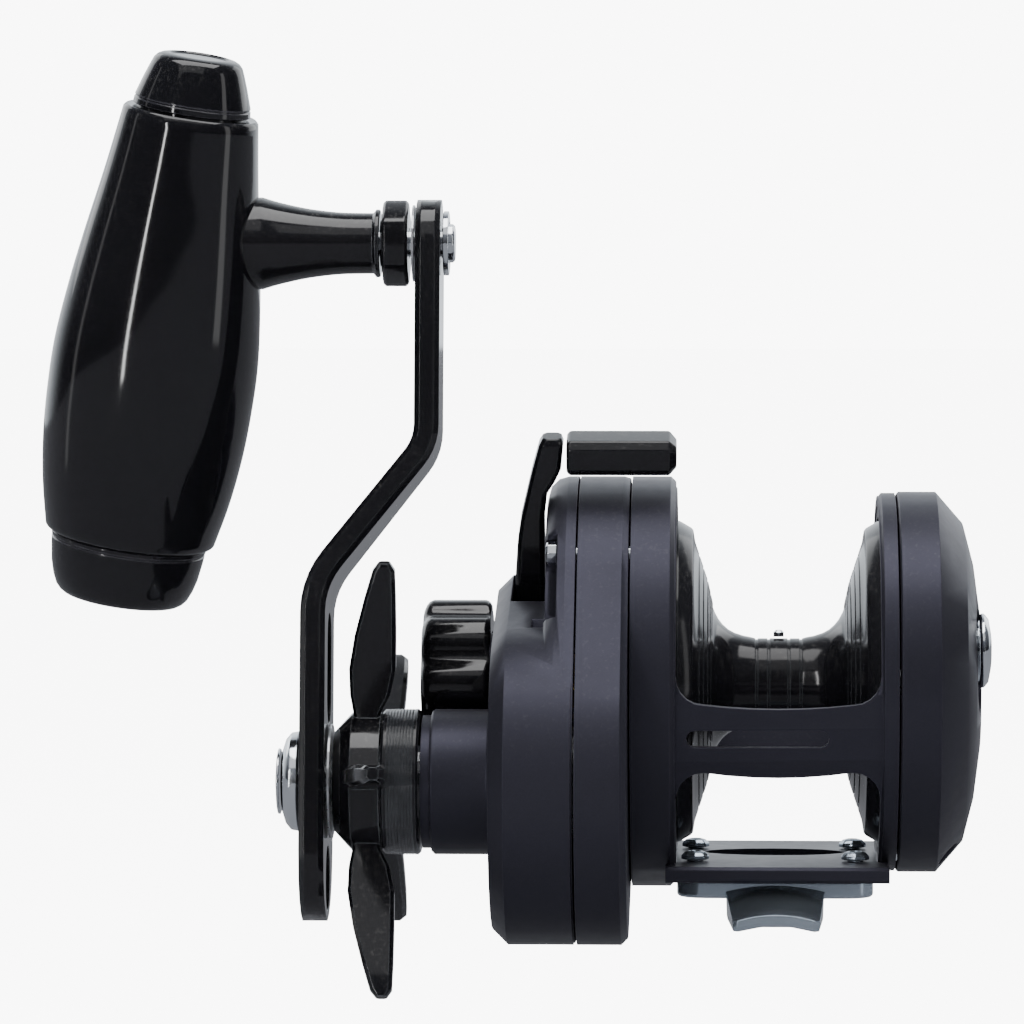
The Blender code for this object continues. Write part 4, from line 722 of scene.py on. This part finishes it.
class REEL_OT_clutch(bpy.types.Operator):
    """Polish the clutch lever and its thumb bar"""
    bl_idname = "reel.clutch"
    bl_label = "Clutch Lever"

    def execute(self, context):
        refined("polished_lever", "clutch_lever", "polished_black", "clutch_group", 0.2)
        refined("polished_thumb_bar", "clutch_thumb_bar", "polished_black", "clutch_group", 0.25)
        return {"FINISHED"}


class REEL_OT_cast_knob(bpy.types.Operator):
    """Shape the lobed cast control knob"""
    bl_idname = "reel.cast_knob"
    bl_label = "Cast Control Knob"

    def execute(self, context):
        def lobes(radius, depth, points=112):
            """Outline (y, z) with rounded notches."""
            wave = [0.5 - 0.5 * cos(2 * pi * CAST_LOBES * i / points) for i in range(points)]
            return [around(radius - depth * wave[i] ** 2, 360 * i / points) for i in range(points)]

        layers = [(-52.2, lobes(8.3, 0)), (-47.8, lobes(8.3, 0)), (-47.8, lobes(12.6, 0.6)),
                  (-48.0, lobes(13.0, 1.0)), (-48.35, lobes(13.35, 1.3)), (-48.8, lobes(13.5, 1.5)),
                  (-57.5, lobes(13.5, 1.5)), (-58.2, lobes(13.2, 1.45)), (-58.7, lobes(12.6, 1.35)),
                  (-59.05, lobes(11.8, 1.15)), (-59.2, lobes(11.1, 1.0)), (-59.2, lobes(8.6, 0)),
                  (-58.9, lobes(8.3, 0)), (-58.7, lobes(8.1, 0)), (-58.7, lobes(3.0, 0)),
                  (-58.9, lobes(2.8, 0))]
        rings = [[(x, y, z + SPOOL_CENTRE.z) for y, z in outline] for x, outline in layers]
        settle(loft("lobed_cast_knob", rings), "polished_black", "cast_group", "cast_control_knob")
        return {"FINISHED"}


class REEL_OT_foot(bpy.types.Operator):
    """Finish the reel foot in dark chrome"""
    bl_idname = "reel.foot"
    bl_label = "Reel Foot"

    def execute(self, context):
        refined("chromed_foot", "reel_foot", "dark_chrome", "reel", 0.2)
        for i in range(1, 5):
            refined(f"deck_screw_{i}", f"foot_screw_{i}", "dark_chrome", "reel", 0.1)
        return {"FINISHED"}


class REEL_OT_screws(bpy.types.Operator):
    """Finish the side cover screws in bright chrome"""
    bl_idname = "reel.screws"
    bl_label = "Cover Screws"

    def execute(self, context):
        for i in range(1, 4):
            refined(f"gear_cover_screw_{i}", f"cover_screw_{i}", "polished_chrome", "reel", 0.1)
            refined(f"palm_cover_screw_{i}", f"palm_screw_{i}", "polished_chrome", "reel", 0.1)
        return {"FINISHED"}


class REEL_OT_clicker(bpy.types.Operator):
    """Turn the chromed clicker button"""
    bl_idname = "reel.clicker"
    bl_label = "Clicker Button"

    def execute(self, context):
        low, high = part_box("clicker_button")
        centre = (low + high) / 2 / MM
        x = low.x / MM
        waist = eased([(x + 0.5, 6.4), (x + 1.2, 6.7), (x + 1.9, 6.1), (x + 2.2, 5.0), (x + 2.7, 4.9),
                       (x + 3.1, 5.8), (x + 3.9, 6.1), (x + 4.7, 5.2)], 3)
        profile = ([(x, 0), (x, 5.5)] + waist
                   + [(x + 5.1, 3.1), (x + 5.2, 2.2), (x + 5.0, 1.8), (x + 5.0, 0)])
        settle(turned("clicker_button_finish", profile, centre, 96), "polished_chrome", "clicker_group",
               "clicker_button")
        return {"FINISHED"}


WORKS = {
    "ground_steel": [
        "spool_shaft", "spool_bearing_left", "spool_bearing_right", "drive_shaft_bearing", "one_way_clutch",
        "tension_shim", "drive_shaft", "drag_plate", "pressure_plate", "ratchet_wheel", "handle_washer",
        "drag_sleeve", "drag_spring_washer", "knob_washer", "knob_bearing_1", "knob_bearing_2", "pinion_yoke",
        "yoke_spring_1", "yoke_spring_2", "clutch_cam", "clicker_pawl", "anti_reverse_pawl",
    ],
    "cut_brass": ["pinion_gear", "drive_gear", "clicker_gear"],
    "woven_carbon": ["drag_carbon_1", "drag_carbon_2"],
}


class REEL_OT_works(bpy.types.Operator):
    """Finish the shafts, gears, bearings and drag washers inside"""
    bl_idname = "reel.works"
    bl_label = "Inner Works"

    def execute(self, context):
        for finish, names in WORKS.items():
            for name in names:
                slots = NODES[name].material_slots
                if not slots:
                    raise ValueError(f"{name} has no material slot")
                for slot in slots:
                    slot.material = bpy.data.materials[finish]
        return {"FINISHED"}


OPERATORS = (REEL_OT_camera, REEL_OT_finishes, REEL_OT_stage, REEL_OT_housing, REEL_OT_spool,
             REEL_OT_handle, REEL_OT_knob, REEL_OT_star, REEL_OT_clutch, REEL_OT_cast_knob, REEL_OT_foot,
             REEL_OT_screws, REEL_OT_clicker, REEL_OT_works)


class REEL_PT_panel(bpy.types.Panel):
    """Sizes, finishes and steps for the reel"""
    bl_idname = "REEL_PT_panel"
    bl_label = "Baitcasting Reel"
    bl_space_type = "VIEW_3D"
    bl_region_type = "UI"
    bl_category = "Reel"

    def draw(self, context):
        scene = context.scene
        for group in (scene.reel_finish, scene.reel_sizes, scene.reel_studio):
            box = self.layout.box()
            for name in group.__annotations__:
                box.prop(group, name)
        steps = self.layout.column(align=True)
        for operator in OPERATORS:
            steps.operator(operator.bl_idname)


PROPERTIES = (("reel_finish", ReelFinish), ("reel_sizes", ReelSizes), ("reel_studio", ReelStudio))


def register():
    """Registers the settings, the steps and the panel."""
    for name, group in PROPERTIES:
        bpy.utils.register_class(group)
        setattr(bpy.types.Scene, name, PointerProperty(type=group))
    for operator in OPERATORS:
        bpy.utils.register_class(operator)
    bpy.utils.register_class(REEL_PT_panel)


def unregister():
    """Takes away what register added."""
    bpy.utils.unregister_class(REEL_PT_panel)
    for operator in reversed(OPERATORS):
        bpy.utils.unregister_class(operator)
    for name, group in reversed(PROPERTIES):
        delattr(bpy.types.Scene, name)
        bpy.utils.unregister_class(group)


def main():
    """Runs every step in order."""
    register()
    for operator in OPERATORS:
        getattr(bpy.ops.reel, operator.bl_idname.removeprefix("reel."))()


if __name__ == "__main__":
    main()
